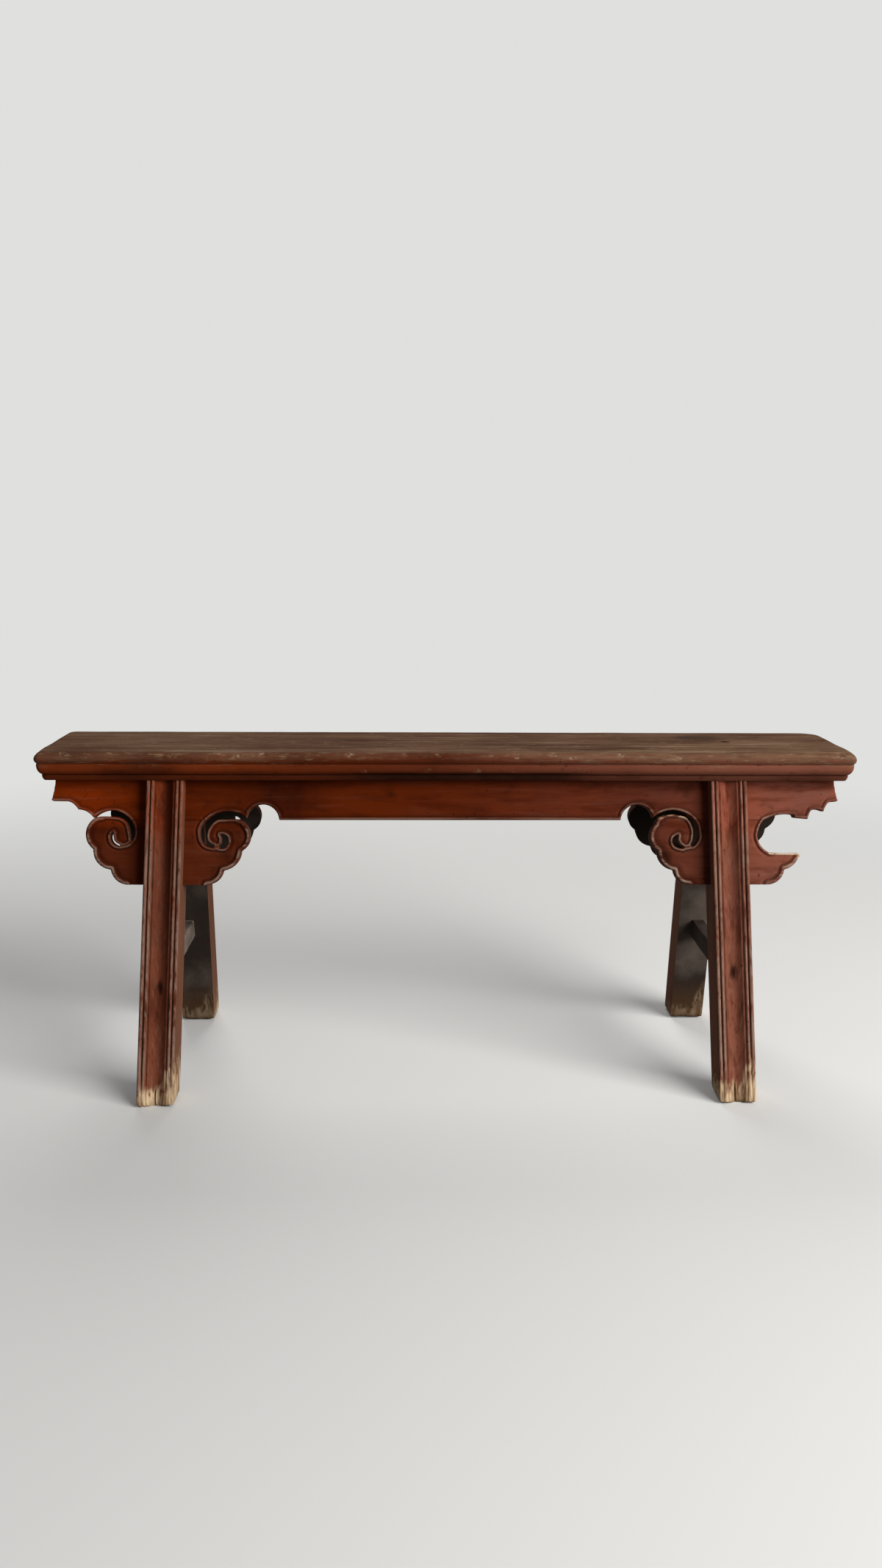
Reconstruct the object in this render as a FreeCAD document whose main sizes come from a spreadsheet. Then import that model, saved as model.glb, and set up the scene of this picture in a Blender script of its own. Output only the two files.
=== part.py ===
# A long bench: a plank seat on four legs that splay in length and in depth.
# Each leg is forked at its top over a long apron and a pierced cloud-scroll spandrel,
# and stands with two blind tenons in the seat. A rung ties the two legs at each end.
# Frame: +X along the seat, +Y from front to rear, +Z up, origin on the floor under the middle.

import FreeCAD, Part
import os
import re
import Sketcher

# Driving dimensions in millimetres: name, value, what it measures
SIZES = [
    ("seat_length", 1175, "plank, end to end"),
    ("seat_depth", 174, "plank, front to rear"),
    ("seat_height", 500, "top of the plank above the floor"),
    ("seat_thickness", 45, "plank, top to underside"),
    ("top_round", 7, "flat of the top, in from the widest line"),
    ("groove_drop", 20, "groove under the upper roll, below the top"),
    ("groove_inset", 4, "groove, in from the widest line"),
    ("step_drop", 35, "foot of the lower roll, below the top"),
    ("roll_inset", 8, "foot of the lower roll, in from the widest line"),
    ("roll_bulge", 2.5, "swell of the lower roll"),
    ("step_inset", 11.5, "band under the lower roll, in from the widest line"),
    ("base_inset", 14, "edge of the underside, in from the widest line"),
    ("leg_width", 53, "leg along the seat"),
    ("leg_depth", 49, "leg across the seat, measured level"),
    ("leg_setback", 155, "leg's outer side from the seat's end, at the underside"),
    ("leg_recess", 2, "leg's face behind the edge of the underside"),
    ("leg_kick_end", 12, "how far the foot runs out along the seat"),
    ("leg_kick_side", 108, "how far the foot runs out across the seat"),
    ("face_hollow", 3.5, "depth of the wide hollow on the leg's face"),
    ("bead_width", 5, "outer bead of the leg's face"),
    ("bead_rise", 2.2, "swell of both beads"),
    ("quirk_width", 1, "fine line between the beads"),
    ("quirk_depth", 1, "depth of the fine line"),
    ("inner_bead_width", 4.2, "inner bead of the leg's face"),
    ("flute_width", 3.2, "groove beside the wide hollow"),
    ("flute_depth", 1.5, "depth of that groove"),
    ("apron_thickness", 16, "apron and spandrel boards"),
    ("apron_setback", 20, "apron's face behind the leg's face, measured level"),
    ("apron_height", 62, "apron along its lean"),
    ("apron_inset", 14.5, "tip of the apron in from the seat's end"),
    ("tip_drop", 34.5, "tip of the apron below the seat, along the lean"),
    ("tip_overhang", 5, "tip of the apron beyond its top corner"),
    ("tip_flat", 18, "level edge behind the tip"),
    ("cusp_run", 30, "cusp of the apron's end, in from the tip"),
    ("cusp_drop", 48, "cusp of the apron's end, below the seat"),
    ("end_swell", 2, "hollows and swells of the apron's end"),
    ("arch_near", 50, "scroll arch, its near end from the leg's middle"),
    ("arch_far", 111.5, "scroll arch, its far end from the leg's middle"),
    ("arch_rise", 12.5, "rise of the scroll arch"),
    ("point_lift", 3, "point between the arches above the apron's lower edge"),
    ("notch_width", 47.5, "plain arch beside the scroll"),
    ("notch_rise", 21, "rise of the plain arch"),
    ("spandrel_height", 94, "spandrel along its lean, below the apron"),
    ("scroll_offset", 69, "scroll's eye from the leg's middle"),
    ("scroll_fall", 21, "scroll's eye below the seam under the apron"),
    ("spiral_pitch", 25, "inward run of the spiral in one turn"),
    ("spiral_slot", 6.5, "width of the pierced spiral"),
    ("spiral_start", 75, "degrees, where the scroll's flat top ends"),
    ("spiral_end", 365, "degrees, where the pierced spiral stops"),
    ("crest_setback", 4, "crest of the first lobe, in from the apron's point above it"),
    ("crest_swell", 1.2, "swell of the scroll's flat top"),
    ("first_lobe_swell", 9.5, "swell of the first lobe"),
    ("first_cusp_reach", 104.5, "cusp under the first lobe, from the leg's middle"),
    ("first_cusp_fall", 44, "cusp under the first lobe, below the seam"),
    ("second_lobe_swell", 7, "swell of the second lobe"),
    ("second_cusp_reach", 80, "cusp under the second lobe, from the leg's middle"),
    ("second_cusp_fall", 73.5, "cusp under the second lobe, below the seam"),
    ("third_lobe_swell", 5.5, "swell of the third lobe"),
    ("third_lobe_reach", 58, "foot of the third lobe, from the leg's middle"),
    ("break_angle", 250, "degrees, where the broken scroll's stump leaves the spiral"),
    ("break_hollow", 2, "hollow of the stump's broken top"),
    ("break_reach", 110.5, "tip of the stump, from the leg's middle"),
    ("break_fall", 49.5, "tip of the stump, below the seam"),
    ("tenon_length", 26, "leg tenons in the seat"),
    ("tenon_inset", 7, "outer tenon in from the leg's face"),
    ("tenon_side", 8, "tenons in from the leg's sides"),
    ("outer_tenon", 11, "outer tenon's thickness"),
    ("inner_tenon", 8, "inner tenon's thickness"),
    ("inner_tenon_inset", 2, "inner tenon in from the leg's inner face"),
    ("rung_width", 20, "rung along the seat"),
    ("rung_depth", 30, "rung, top to bottom"),
    ("rung_height", 176.5, "middle of the rung above the floor"),
    ("rung_tenon_length", 24, "rung tenon in the leg"),
    ("rung_tenon_width", 10, "rung tenon along the seat"),
    ("rung_tenon_depth", 20, "rung tenon, top to bottom"),
    ("dowel_diameter", 6, "bamboo dowel"),
    ("dowel_reach", 15, "dowel in each board"),
    ("dowel_offset", 38, "dowel from the leg's middle"),
    ("joint_gap", 0.2, "clearance round tenons, dowels and boards in their slots"),
]
NAMES = {name for name, size, note in SIZES}

doc = FreeCAD.newDocument("long_bench")
sheet = doc.addObject("Spreadsheet::Sheet", "sizes")
for row, (name, size, note) in enumerate(SIZES, start=1):
    sheet.set(f"A{row}", note)
    sheet.set(f"B{row}", str(size))
    sheet.setAlias(f"B{row}", name)
doc.recompute()

# The four quarters of the bench, and the normals of the planes that mirror them
SIDES = ((1, "right"), (-1, "left"))
FACES = ((1, "rear"), (-1, "front"))
ACROSS = (1, 0, 0)
FRONT_TO_REAR = (0, 1, 0)

# Places that several pieces share, as formulas in the sheet's names
UNDERSIDE = "(seat_height - seat_thickness)"
LEAN = f"atan(leg_kick_side / {UNDERSIDE})"
LEG_OUTER_TOP = "(seat_length / 2 - leg_setback)"
LEG_OUTER_FOOT = f"({LEG_OUTER_TOP} + leg_kick_end)"
FACE_TOP = "(seat_depth / 2 - base_inset - leg_recess)"
FACE_FOOT = f"({FACE_TOP} + leg_kick_side)"
APRON_LINE = f"({FACE_TOP} - apron_setback)"
BOARD_DROP = "(apron_height + spandrel_height)"
BOARD_MIDDLE = f"({LEG_OUTER_TOP} - leg_width / 2 + leg_kick_end * {BOARD_DROP} / 2 / {UNDERSIDE})"
SEAM_TURN = "(180 deg - atan(scroll_fall / (scroll_offset - arch_near)))"
SPIRAL_REACH = "hypot(scroll_fall; scroll_offset - arch_near)"
RUNG_LINE = f"({LEG_OUTER_FOOT} - leg_width / 2 - leg_kick_end * rung_height / {UNDERSIDE})"


def inner_face(height):
    """Distance of a leg's inner face from the bench's middle line at a height."""
    return f"({FACE_FOOT} - leg_depth - leg_kick_side * ({height}) / {UNDERSIDE})"


def formula(text):
    """A formula with its sheet names spelled the way the document reads them."""
    def spelled(word):
        return f"sizes.{word.group()}" if word.group() in NAMES else word.group()
    return re.sub(r"[a-z_]+", spelled, text)


def measure(text):
    """The present value of a formula."""
    result = sheet.evalExpression(formula(text))
    return float(getattr(result, "Value", result))


def origin_plane(body, role):
    """One of a body's own origin planes."""
    for feature in body.Origin.OriginFeatures:
        if feature.Role == role:
            return feature
    raise ValueError(role)


def new_sketch(body, name, role, offset=None):
    """A sketch on an origin plane, moved along the plane's normal by a formula."""
    sketch = body.newObject("Sketcher::SketchObject", name)
    sketch.AttachmentSupport = [(origin_plane(body, role), "")]
    sketch.MapMode = "FlatFace"
    if offset:
        sketch.setExpression("AttachmentOffset.Base.z", formula(offset))
    return sketch


def bind(sketch, kind, places, text):
    """A dimension of a sketch, held by a formula."""
    index = sketch.addConstraint(Sketcher.Constraint(kind, *places, measure(text)))
    label = f"size{index}"
    sketch.renameConstraint(index, label)
    sketch.setExpression(f"Constraints.{label}", formula(text))


def draw_loop(sketch, corners):
    """A closed loop drawn anticlockwise. A corner is (across, up) or (across, up, swell):
    the swell bows the side that follows outwards, or inwards where it is negative."""
    first = sketch.GeometryCount
    count = len(corners)
    points = [FreeCAD.Vector(measure(corner[0]), measure(corner[1])) for corner in corners]
    for index, corner in enumerate(corners):
        start = points[index]
        end = points[(index + 1) % count]
        if len(corner) == 2:
            sketch.addGeometry(Part.LineSegment(start, end))
            continue
        chord = end - start
        outward = FreeCAD.Vector(chord.y, -chord.x).normalize()
        sketch.addGeometry(Part.Arc(start, (start + end) / 2 + outward * measure(corner[2]), end))
    starts = []
    for index, point in enumerate(points):
        at_first = (sketch.getPoint(first + index, 1) - point).Length
        at_second = (sketch.getPoint(first + index, 2) - point).Length
        starts.append(1 if at_first < at_second else 2)
    for index, corner in enumerate(corners):
        after = (index + 1) % count
        places = (first + index, 3 - starts[index], first + after, starts[after])
        sketch.addConstraint(Sketcher.Constraint("Coincident", *places))
        bind(sketch, "DistanceX", (-1, 1, first + index, starts[index]), corner[0])
        bind(sketch, "DistanceY", (-1, 1, first + index, starts[index]), corner[1])
        if len(corner) == 3:
            run = f"(({corners[after][0]}) - ({corner[0]}))"
            climb = f"(({corners[after][1]}) - ({corner[1]}))"
            swell = f"abs({corner[2]})"
            radius = f"(({run}^2 + {climb}^2) / 4 + {swell}^2) / (2 * {swell})"
            bind(sketch, "Radius", (first + index,), radius)


def draw_box(sketch, left, low, right, high):
    """A closed rectangle between two corners."""
    draw_loop(sketch, [(left, low), (right, low), (right, high), (left, high)])


def pad(body, name, sketch, length, symmetric=False):
    """A sketch raised along its normal."""
    feature = body.newObject("PartDesign::Pad", name)
    feature.Profile = sketch
    feature.SideType = "Symmetric" if symmetric else "One side"
    feature.setExpression("Length", formula(length))
    doc.recompute()
    return feature


def cut(body, name, sketch, length=None, backwards=False):
    """A sketch cut through everything, or to a length, and checked to have cut something."""
    before = body.Shape.Volume
    feature = body.newObject("PartDesign::Pocket", name)
    feature.Profile = sketch
    feature.Reversed = backwards
    if length:
        feature.setExpression("Length", formula(length))
    else:
        feature.Type = "ThroughAll"
        feature.SideType = "Symmetric"
    doc.recompute()
    if body.Shape.Volume >= before:
        raise ValueError(f"{name} cuts nothing")
    return feature


def slant(feature, side, face):
    """Turn a pad or a pocket along the leg that stands on one side and one face of the bench."""
    feature.UseCustomVector = True
    feature.AlongSketchNormal = True
    feature.Direction = FreeCAD.Vector(0, 0, 1)
    feature.setExpression("Direction.x", formula(f"{-side} * leg_kick_end / {UNDERSIDE}"))
    feature.setExpression("Direction.y", formula(f"{-face} * leg_kick_side / {UNDERSIDE}"))
    doc.recompute()


def cut_along_leg(body, name, sketch, height, side, face):
    """A level sketch cut upwards along a leg, to a height."""
    feature = cut(body, name, sketch, height, backwards=True)
    slant(feature, side, face)
    feature.Reversed = False
    doc.recompute()


def mirrored(source, label, normal):
    """The mirror image of a piece in an upright plane through the bench's middle."""
    twin = doc.addObject("Part::Mirroring", label)
    twin.Source = source
    twin.Normal = FreeCAD.Vector(*normal)
    doc.recompute()
    return twin


def edge_roll(half):
    """The seat's moulded edge from the underside up to the top, at a half length or depth."""
    return [
        (f"{half} - base_inset", UNDERSIDE),
        (f"{half} - step_inset", "seat_height - step_drop"),
        (f"{half} - roll_inset", "seat_height - step_drop", "roll_bulge"),
        (f"{half} - groove_inset", "seat_height - groove_drop", "(groove_inset + top_round) / 2"),
        (f"{half} - top_round", "seat_height"),
    ]


def walked_back(corners):
    """The same corners in the other order; a swell stays with the side that it bows."""
    swells = [corner[2:] for corner in corners[-2::-1]] + [()]
    return [(*corner[:2], *swell) for corner, swell in zip(reversed(corners), swells)]


def flipped(corners):
    """Corners mirrored left to right, in the order that keeps the loop anticlockwise."""
    return [(f"-({across})", up, *swell) for across, up, *swell in walked_back(corners)]


def waste_beside(roll):
    """The wood that is taken off beside a moulded edge, to a little beyond the plank."""
    beyond = "(seat_depth / 2 + base_inset)"
    under = f"{UNDERSIDE} - base_inset"
    above = "seat_height + base_inset"
    hollows = []
    for across, up, *swell in walked_back(roll):
        hollows.append((across, up, *[f"-({bow})" for bow in swell]))
    return [(beyond, under), (beyond, above), (roll[-1][0], above), *hollows, (roll[0][0], under)]


def tenon_spans(side, face, gap):
    """Level outlines of a leg's two tenons where they enter the seat, widened by a gap."""
    outer = f"({FACE_TOP} - tenon_inset)"
    inner = f"({FACE_TOP} - leg_depth + inner_tenon_inset)"
    across = (f"{LEG_OUTER_TOP} - leg_width + tenon_side - {gap}", f"{LEG_OUTER_TOP} - tenon_side + {gap}")
    depths = (
        (f"{outer} - outer_tenon - {gap}", f"{outer} + {gap}"),
        (f"{inner} - {gap}", f"{inner} + inner_tenon + {gap}"),
    )
    for depth in depths:
        left, right = across if side > 0 else (f"-({across[1]})", f"-({across[0]})")
        low, high = depth if face > 0 else (f"-({depth[1]})", f"-({depth[0]})")
        yield left, low, right, high


def make_seat():
    """Plank with the moulding run round all four edges and a pair of mortises for each leg."""
    body = doc.addObject("PartDesign::Body", "seat_top")
    length_profile = new_sketch(body, "seat_length_profile", "XZ_Plane")
    roll = edge_roll("seat_length / 2")
    draw_loop(length_profile, roll + flipped(roll))
    pad(body, "seat_plank", length_profile, "seat_depth", symmetric=True)
    side_waste = new_sketch(body, "seat_side_waste", "YZ_Plane")
    waste = waste_beside(edge_roll("seat_depth / 2"))
    draw_loop(side_waste, waste)
    draw_loop(side_waste, flipped(waste))
    cut(body, "seat_side_rolls", side_waste)
    for side, end in SIDES:
        for face, row in FACES:
            mouths = new_sketch(body, f"mortise_mouths_{row}_{end}", "XY_Plane", UNDERSIDE)
            for span in tenon_spans(side, face, "joint_gap"):
                draw_box(mouths, *span)
            cut_along_leg(body, f"mortises_{row}_{end}", mouths, "tenon_length + joint_gap", side, face)
    return body


def leg_section():
    """Level section of the rear right leg at the floor: plain back and sides, moulded face."""
    base = f"{FACE_FOOT} - bead_rise"
    marks = ["0", "bead_width", "bead_width + quirk_width"]
    marks.append(f"{marks[2]} + inner_bead_width")
    marks.append(f"{marks[3]} + flute_width")
    swells = [("bead_rise",), ("-quirk_depth",), ("bead_rise",), ("-flute_depth",), ("-face_hollow",)]
    corners = [
        (f"{LEG_OUTER_FOOT} - leg_width", f"{FACE_FOOT} - leg_depth"),
        (LEG_OUTER_FOOT, f"{FACE_FOOT} - leg_depth"),
    ]
    for mark, swell in zip(marks, swells):
        corners.append((f"{LEG_OUTER_FOOT} - ({mark})", base, *swell))
    for mark, swell in zip(reversed(marks[1:]), reversed(swells[:-1])):
        corners.append((f"{LEG_OUTER_FOOT} - leg_width + ({mark})", base, *swell))
    corners.append((f"{LEG_OUTER_FOOT} - leg_width", base))
    return corners


def on_board(inward, up):
    """Place on a rear board's end view: inward from its outer face, and up along its lean."""
    return (
        f"{APRON_LINE} - ({inward}) * cos({LEAN}) - ({up}) * sin({LEAN})",
        f"{UNDERSIDE} - ({inward}) * sin({LEAN}) + ({up}) * cos({LEAN})",
    )


def make_leg():
    """The rear right leg: slanted post, two tenons, fork for the boards, mortise for the rung."""
    body = doc.addObject("PartDesign::Body", "leg_rear_right")
    section = new_sketch(body, "leg_section", "XY_Plane")
    draw_loop(section, leg_section())
    post = pad(body, "leg_post", section, f"{UNDERSIDE} + tenon_length")
    slant(post, 1, 1)
    shoulder = new_sketch(body, "leg_shoulder", "XY_Plane", UNDERSIDE)
    draw_box(
        shoulder,
        f"{LEG_OUTER_TOP} - 2 * leg_width",
        f"{FACE_TOP} - 2 * leg_depth",
        f"{LEG_OUTER_TOP} + leg_width",
        f"{FACE_TOP} + leg_depth",
    )
    for span in tenon_spans(1, 1, "0"):
        draw_box(shoulder, *span)
    cut_along_leg(body, "leg_tenons", shoulder, "2 * tenon_length", 1, 1)
    fork = new_sketch(body, "leg_fork_outline", "YZ_Plane")
    head = f"apron_thickness * tan({LEAN}) + joint_gap"
    floor = f"-({BOARD_DROP} + joint_gap)"
    draw_loop(fork, [
        on_board("apron_thickness + joint_gap", floor),
        on_board("-joint_gap", floor),
        on_board("-joint_gap", head),
        on_board("apron_thickness + joint_gap", head),
    ])
    cut(body, "leg_fork", fork)
    mouth = new_sketch(body, "rung_mortise_mouth", "XZ_Plane")
    draw_box(
        mouth,
        f"{RUNG_LINE} - rung_tenon_width / 2 - joint_gap",
        "rung_height - rung_tenon_depth / 2 - joint_gap",
        f"{RUNG_LINE} + rung_tenon_width / 2 + joint_gap",
        "rung_height + rung_tenon_depth / 2 + joint_gap",
    )
    cut(body, "rung_mortise", mouth, f"{inner_face('rung_height')} + rung_tenon_length + joint_gap")
    return body


def half_apron():
    """Corners of the apron's right half: lower edge from the middle, then the end up to the seat."""
    low = "-apron_height"
    point = "-(apron_height - point_lift)"
    tip = "(seat_length / 2 - apron_inset)"
    return [
        (f"{BOARD_MIDDLE} - arch_far - notch_width", low, "-notch_rise"),
        (f"{BOARD_MIDDLE} - arch_far", point, "-arch_rise"),
        (f"{BOARD_MIDDLE} - arch_near", low),
        (f"{BOARD_MIDDLE} + arch_near", low, "-arch_rise"),
        (f"{BOARD_MIDDLE} + arch_far", point, "end_swell"),
        (f"{tip} - cusp_run", "-cusp_drop", "-end_swell"),
        (f"{tip} - tip_flat", "-tip_drop - end_swell"),
        (tip, "-tip_drop", "-end_swell"),
        (f"{tip} - tip_overhang", f"apron_thickness * tan({LEAN})"),
    ]


def draw_dowel_hole(sketch, across, face):
    """A dowel's hole in the middle of a board's edge, on the rear or the front face of the bench."""
    index = sketch.addGeometry(Part.Circle(FreeCAD.Vector(), FreeCAD.Vector(0, 0, 1), 1))
    bind(sketch, "DistanceX", (-1, 1, index, 3), across)
    bind(sketch, "DistanceY", (-1, 1, index, 3), f"{-face} * apron_thickness / 2")
    bind(sketch, "Radius", (index,), "dowel_diameter / 2 + joint_gap")


def make_apron():
    """The rear apron: a leaning board, cut level along its top to meet the seat, with dowel holes."""
    body = doc.addObject("PartDesign::Body", "apron_rear")
    outline = new_sketch(body, "apron_outline", "XZ_Plane")
    draw_loop(outline, half_apron() + flipped(half_apron()))
    pad(body, "apron_board", outline, "apron_thickness")
    waste = new_sketch(body, "apron_top_waste", "YZ_Plane")
    past = "2 * apron_thickness"
    draw_loop(waste, [
        (past, f"-{past} * tan({LEAN})"),
        (past, past),
        (f"-{past}", past),
        (f"-{past}", f"{past} * tan({LEAN})"),
    ])
    cut(body, "apron_level_top", waste)
    holes = new_sketch(body, "apron_dowel_holes", "XY_Plane", "-apron_height")
    for side in (1, -1):
        for hand in (1, -1):
            draw_dowel_hole(holes, f"{side} * ({BOARD_MIDDLE} + {hand} * dowel_offset)", 1)
    cut(body, "apron_dowels", holes, "dowel_reach + joint_gap", backwards=True)
    lean(body, "0", APRON_LINE, UNDERSIDE, 1)
    return body


def lean(piece, across, depth, height, face):
    """Set a piece down at a place, leaning as the legs on that face of the bench do."""
    turn = FreeCAD.Rotation(FreeCAD.Vector(1, 0, 0), face * measure(LEAN))
    piece.Placement = FreeCAD.Placement(FreeCAD.Vector(), turn)
    piece.setExpression("Placement.Base.x", formula(across))
    piece.setExpression("Placement.Base.y", formula(depth))
    piece.setExpression("Placement.Base.z", formula(height))
    piece.setExpression("Placement.Rotation.Angle", formula(f"{face} * {LEAN}"))
    doc.recompute()


def spiral_place(angle, inward):
    """Radius and place of a point on the spiral, at an angle round the scroll's eye.
    Inward is its distance from the spiral's outer wall."""
    radius = f"({SPIRAL_REACH} - spiral_pitch * ({angle} - {SEAM_TURN}) / 360 deg - {inward})"
    across = f"scroll_offset + {radius} * cos({angle})"
    return radius, (across, f"{radius} * sin({angle}) - scroll_fall - apron_height")


def spiral_wall(start, end, inward, arcs, hand):
    """Corners along one wall of the pierced spiral, from angle to angle, without the last one.
    A hand of 1 swells to the right of the way."""
    corners = []
    step = f"(({end}) - ({start})) / {arcs}"
    for index in range(arcs):
        place = spiral_place(f"({start} + {index} * {step})", inward)[1]
        radius = spiral_place(f"({start} + {index + 0.5} * {step})", inward)[0]
        corners.append((*place, f"{hand} * {radius} * (1 - cos({step} / 2))"))
    return corners


def wing(broken):
    """Corners of a spandrel's right wing, from its lower edge up round the scroll to the seam."""
    spiral_end = "spiral_end * 1 deg"
    corners = [
        ("third_lobe_reach", f"-{BOARD_DROP}", "third_lobe_swell"),
        ("second_cusp_reach", "-(apron_height + second_cusp_fall)", "second_lobe_swell"),
    ]
    if broken:
        corners.append(("break_reach", "-(apron_height + break_fall)", "-break_hollow"))
        corners += spiral_wall("break_angle * 1 deg", SEAM_TURN, "0", 2, -1)
    else:
        crest = "-(apron_height - point_lift + joint_gap)"
        corners.append(("first_cusp_reach", "-(apron_height + first_cusp_fall)", "first_lobe_swell"))
        corners.append(("arch_far - crest_setback", crest, "crest_swell"))
        corners += spiral_wall("spiral_start * 1 deg", spiral_end, "spiral_slot", 4, 1)
        corners.append(spiral_place(spiral_end, "spiral_slot")[1])
        corners += spiral_wall(spiral_end, SEAM_TURN, "0", 3, -1)
    corners.append(("arch_near", "-apron_height"))
    return corners


def make_spandrel(label, face, broken=False):
    """A right-hand cloud-scroll board with two wings; the outer wing may have lost its scroll."""
    body = doc.addObject("PartDesign::Body", label)
    outline = new_sketch(body, f"{label}_outline", "XZ_Plane")
    draw_loop(outline, wing(broken) + flipped(wing(False)))
    board = pad(body, f"{label}_board", outline, "apron_thickness")
    board.Reversed = face < 0
    holes = new_sketch(body, f"{label}_dowel_holes", "XY_Plane", "-apron_height")
    for hand in (1, -1):
        draw_dowel_hole(holes, f"{hand} * dowel_offset", face)
    cut(body, f"{label}_dowels", holes, "dowel_reach + joint_gap")
    lean(body, BOARD_MIDDLE, f"{face} * {APRON_LINE}", UNDERSIDE, face)
    return body


def make_dowel(label, hand, side, face):
    """A bamboo dowel that pins one wing of a spandrel to the apron."""
    dowel = doc.addObject("Part::Cylinder", label)
    depth, height = on_board("apron_thickness / 2", "-(apron_height + dowel_reach)")
    dowel.setExpression("Radius", formula("dowel_diameter / 2"))
    dowel.setExpression("Height", formula("2 * dowel_reach"))
    lean(dowel, f"{side} * ({BOARD_MIDDLE} + {hand} * dowel_offset)", f"{face} * ({depth})", height, face)
    return dowel


def make_rung():
    """The right rung: ends cut to the legs' lean, with a tenon into each leg."""
    body = doc.addObject("PartDesign::Body", "rung_right")
    low = "rung_height - rung_depth / 2"
    high = "rung_height + rung_depth / 2"
    side_view = new_sketch(body, "rung_side", "YZ_Plane", RUNG_LINE)
    draw_loop(side_view, [
        (f"-{inner_face(low)}", low),
        (inner_face(low), low),
        (inner_face(high), high),
        (f"-{inner_face(high)}", high),
    ])
    pad(body, "rung_bar", side_view, "rung_width", symmetric=True)
    tenons = new_sketch(body, "rung_tenon_side", "YZ_Plane", RUNG_LINE)
    reach = f"({inner_face('rung_height')} + rung_tenon_length)"
    draw_box(
        tenons,
        f"-{reach}",
        "rung_height - rung_tenon_depth / 2",
        reach,
        "rung_height + rung_tenon_depth / 2",
    )
    pad(body, "rung_tenons", tenons, "rung_tenon_width", symmetric=True)
    return body


def make_bench():
    """Every piece of the bench, by the name of its node."""
    pieces = [make_seat()]
    leg = make_leg()
    front_leg = mirrored(leg, "leg_front_right", FRONT_TO_REAR)
    pieces += [leg, front_leg]
    pieces.append(mirrored(leg, "leg_rear_left", ACROSS))
    pieces.append(mirrored(front_leg, "leg_front_left", ACROSS))
    apron = make_apron()
    pieces += [apron, mirrored(apron, "apron_front", FRONT_TO_REAR)]
    spandrel = make_spandrel("spandrel_rear_right", 1)
    left_spandrel = mirrored(spandrel, "spandrel_rear_left", ACROSS)
    pieces += [spandrel, left_spandrel]
    pieces.append(mirrored(left_spandrel, "spandrel_front_left", FRONT_TO_REAR))
    pieces.append(make_spandrel("spandrel_front_right", -1, broken=True))
    for side, end in SIDES:
        for face, row in FACES:
            pieces.append(make_dowel(f"dowel_{row}_{end}_outer", 1, side, face))
            pieces.append(make_dowel(f"dowel_{row}_{end}_inner", -1, side, face))
    rung = make_rung()
    pieces += [rung, mirrored(rung, "rung_left", ACROSS)]
    return pieces


def check_and_write(pieces):
    """Stop on any failed object or bad solid, then write one file for each piece."""
    doc.recompute()
    for thing in doc.Objects:
        if "Invalid" in thing.State or "Error" in thing.State:
            raise ValueError(f"{thing.Label}: {thing.State}")
    os.makedirs("parts", exist_ok=True)
    for piece in pieces:
        if piece.Shape.isNull() or not piece.Shape.isValid():
            raise ValueError(f"{piece.Label} has no valid shape")
    for piece in pieces:
        piece.Shape.exportStep(f"parts/{piece.Label}.step")
        box = piece.Shape.BoundBox
        print(
            f"{piece.Label:22s} solids {len(piece.Shape.Solids)}  volume {piece.Shape.Volume:10.0f}",
            f" x {box.XMin:7.1f} {box.XMax:7.1f}  y {box.YMin:7.1f} {box.YMax:7.1f}",
            f" z {box.ZMin:6.1f} {box.ZMax:6.1f}",
        )


check_and_write(make_bench())
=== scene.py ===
# %% [markdown]
# # A long bench with cloud-scroll spandrels
# The real bench is a thick plank on four legs that splay in length and in depth. Each leg is forked
# over a long apron and a pierced cloud-scroll board, and a rung ties the legs at each end.
# The packed solids give every piece its place. This lesson models each piece again with its
# mouldings, carving and wear, in metres and in the same frame, so that nothing has to be fitted.

# %% Load the solids
import math
import bpy
import numpy as np
from mathutils import Matrix, Vector, kdtree, noise


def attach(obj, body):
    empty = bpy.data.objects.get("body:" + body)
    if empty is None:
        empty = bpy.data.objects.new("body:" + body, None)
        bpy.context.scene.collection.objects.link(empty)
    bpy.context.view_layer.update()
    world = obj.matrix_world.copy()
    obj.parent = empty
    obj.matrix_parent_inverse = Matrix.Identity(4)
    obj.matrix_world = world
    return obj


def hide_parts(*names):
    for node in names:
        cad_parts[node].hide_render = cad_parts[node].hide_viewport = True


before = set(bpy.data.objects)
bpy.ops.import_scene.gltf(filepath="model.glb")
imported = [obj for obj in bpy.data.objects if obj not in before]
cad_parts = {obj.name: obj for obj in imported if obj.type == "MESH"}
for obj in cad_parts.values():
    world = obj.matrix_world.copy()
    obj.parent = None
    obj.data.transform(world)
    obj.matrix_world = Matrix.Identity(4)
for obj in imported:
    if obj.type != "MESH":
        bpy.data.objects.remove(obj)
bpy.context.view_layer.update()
MM = 0.001

# %% [markdown]
# ## Working by hand, in code
# Every piece starts the same way: nothing else is selected, a primitive is added in edit mode, and
# its mesh is moved there, so that the object itself stays at the origin. Edges are picked by a test
# on their two ends, and a modifier is applied as soon as it is set, because later steps need its
# points.

# %% Helpers for starting, selecting and applying
def clear_selection():
    """Leaves edit mode with nothing selected, so that an operator only meets the new piece."""
    if bpy.context.mode != "OBJECT":
        bpy.ops.object.mode_set(mode="OBJECT")
    bpy.ops.object.select_all(action="DESELECT")


def pick(piece):
    """Makes a piece the only one selected, and the active one."""
    clear_selection()
    piece.select_set(True)
    bpy.context.view_layer.objects.active = piece


def add_box(size, middle):
    """Adds a box of a size round a place, and stays in edit mode with all of it selected."""
    clear_selection()
    bpy.ops.mesh.primitive_cube_add(size=1, enter_editmode=True)
    bpy.ops.transform.resize(value=size)
    bpy.ops.transform.translate(value=middle)
    return bpy.context.object


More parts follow.
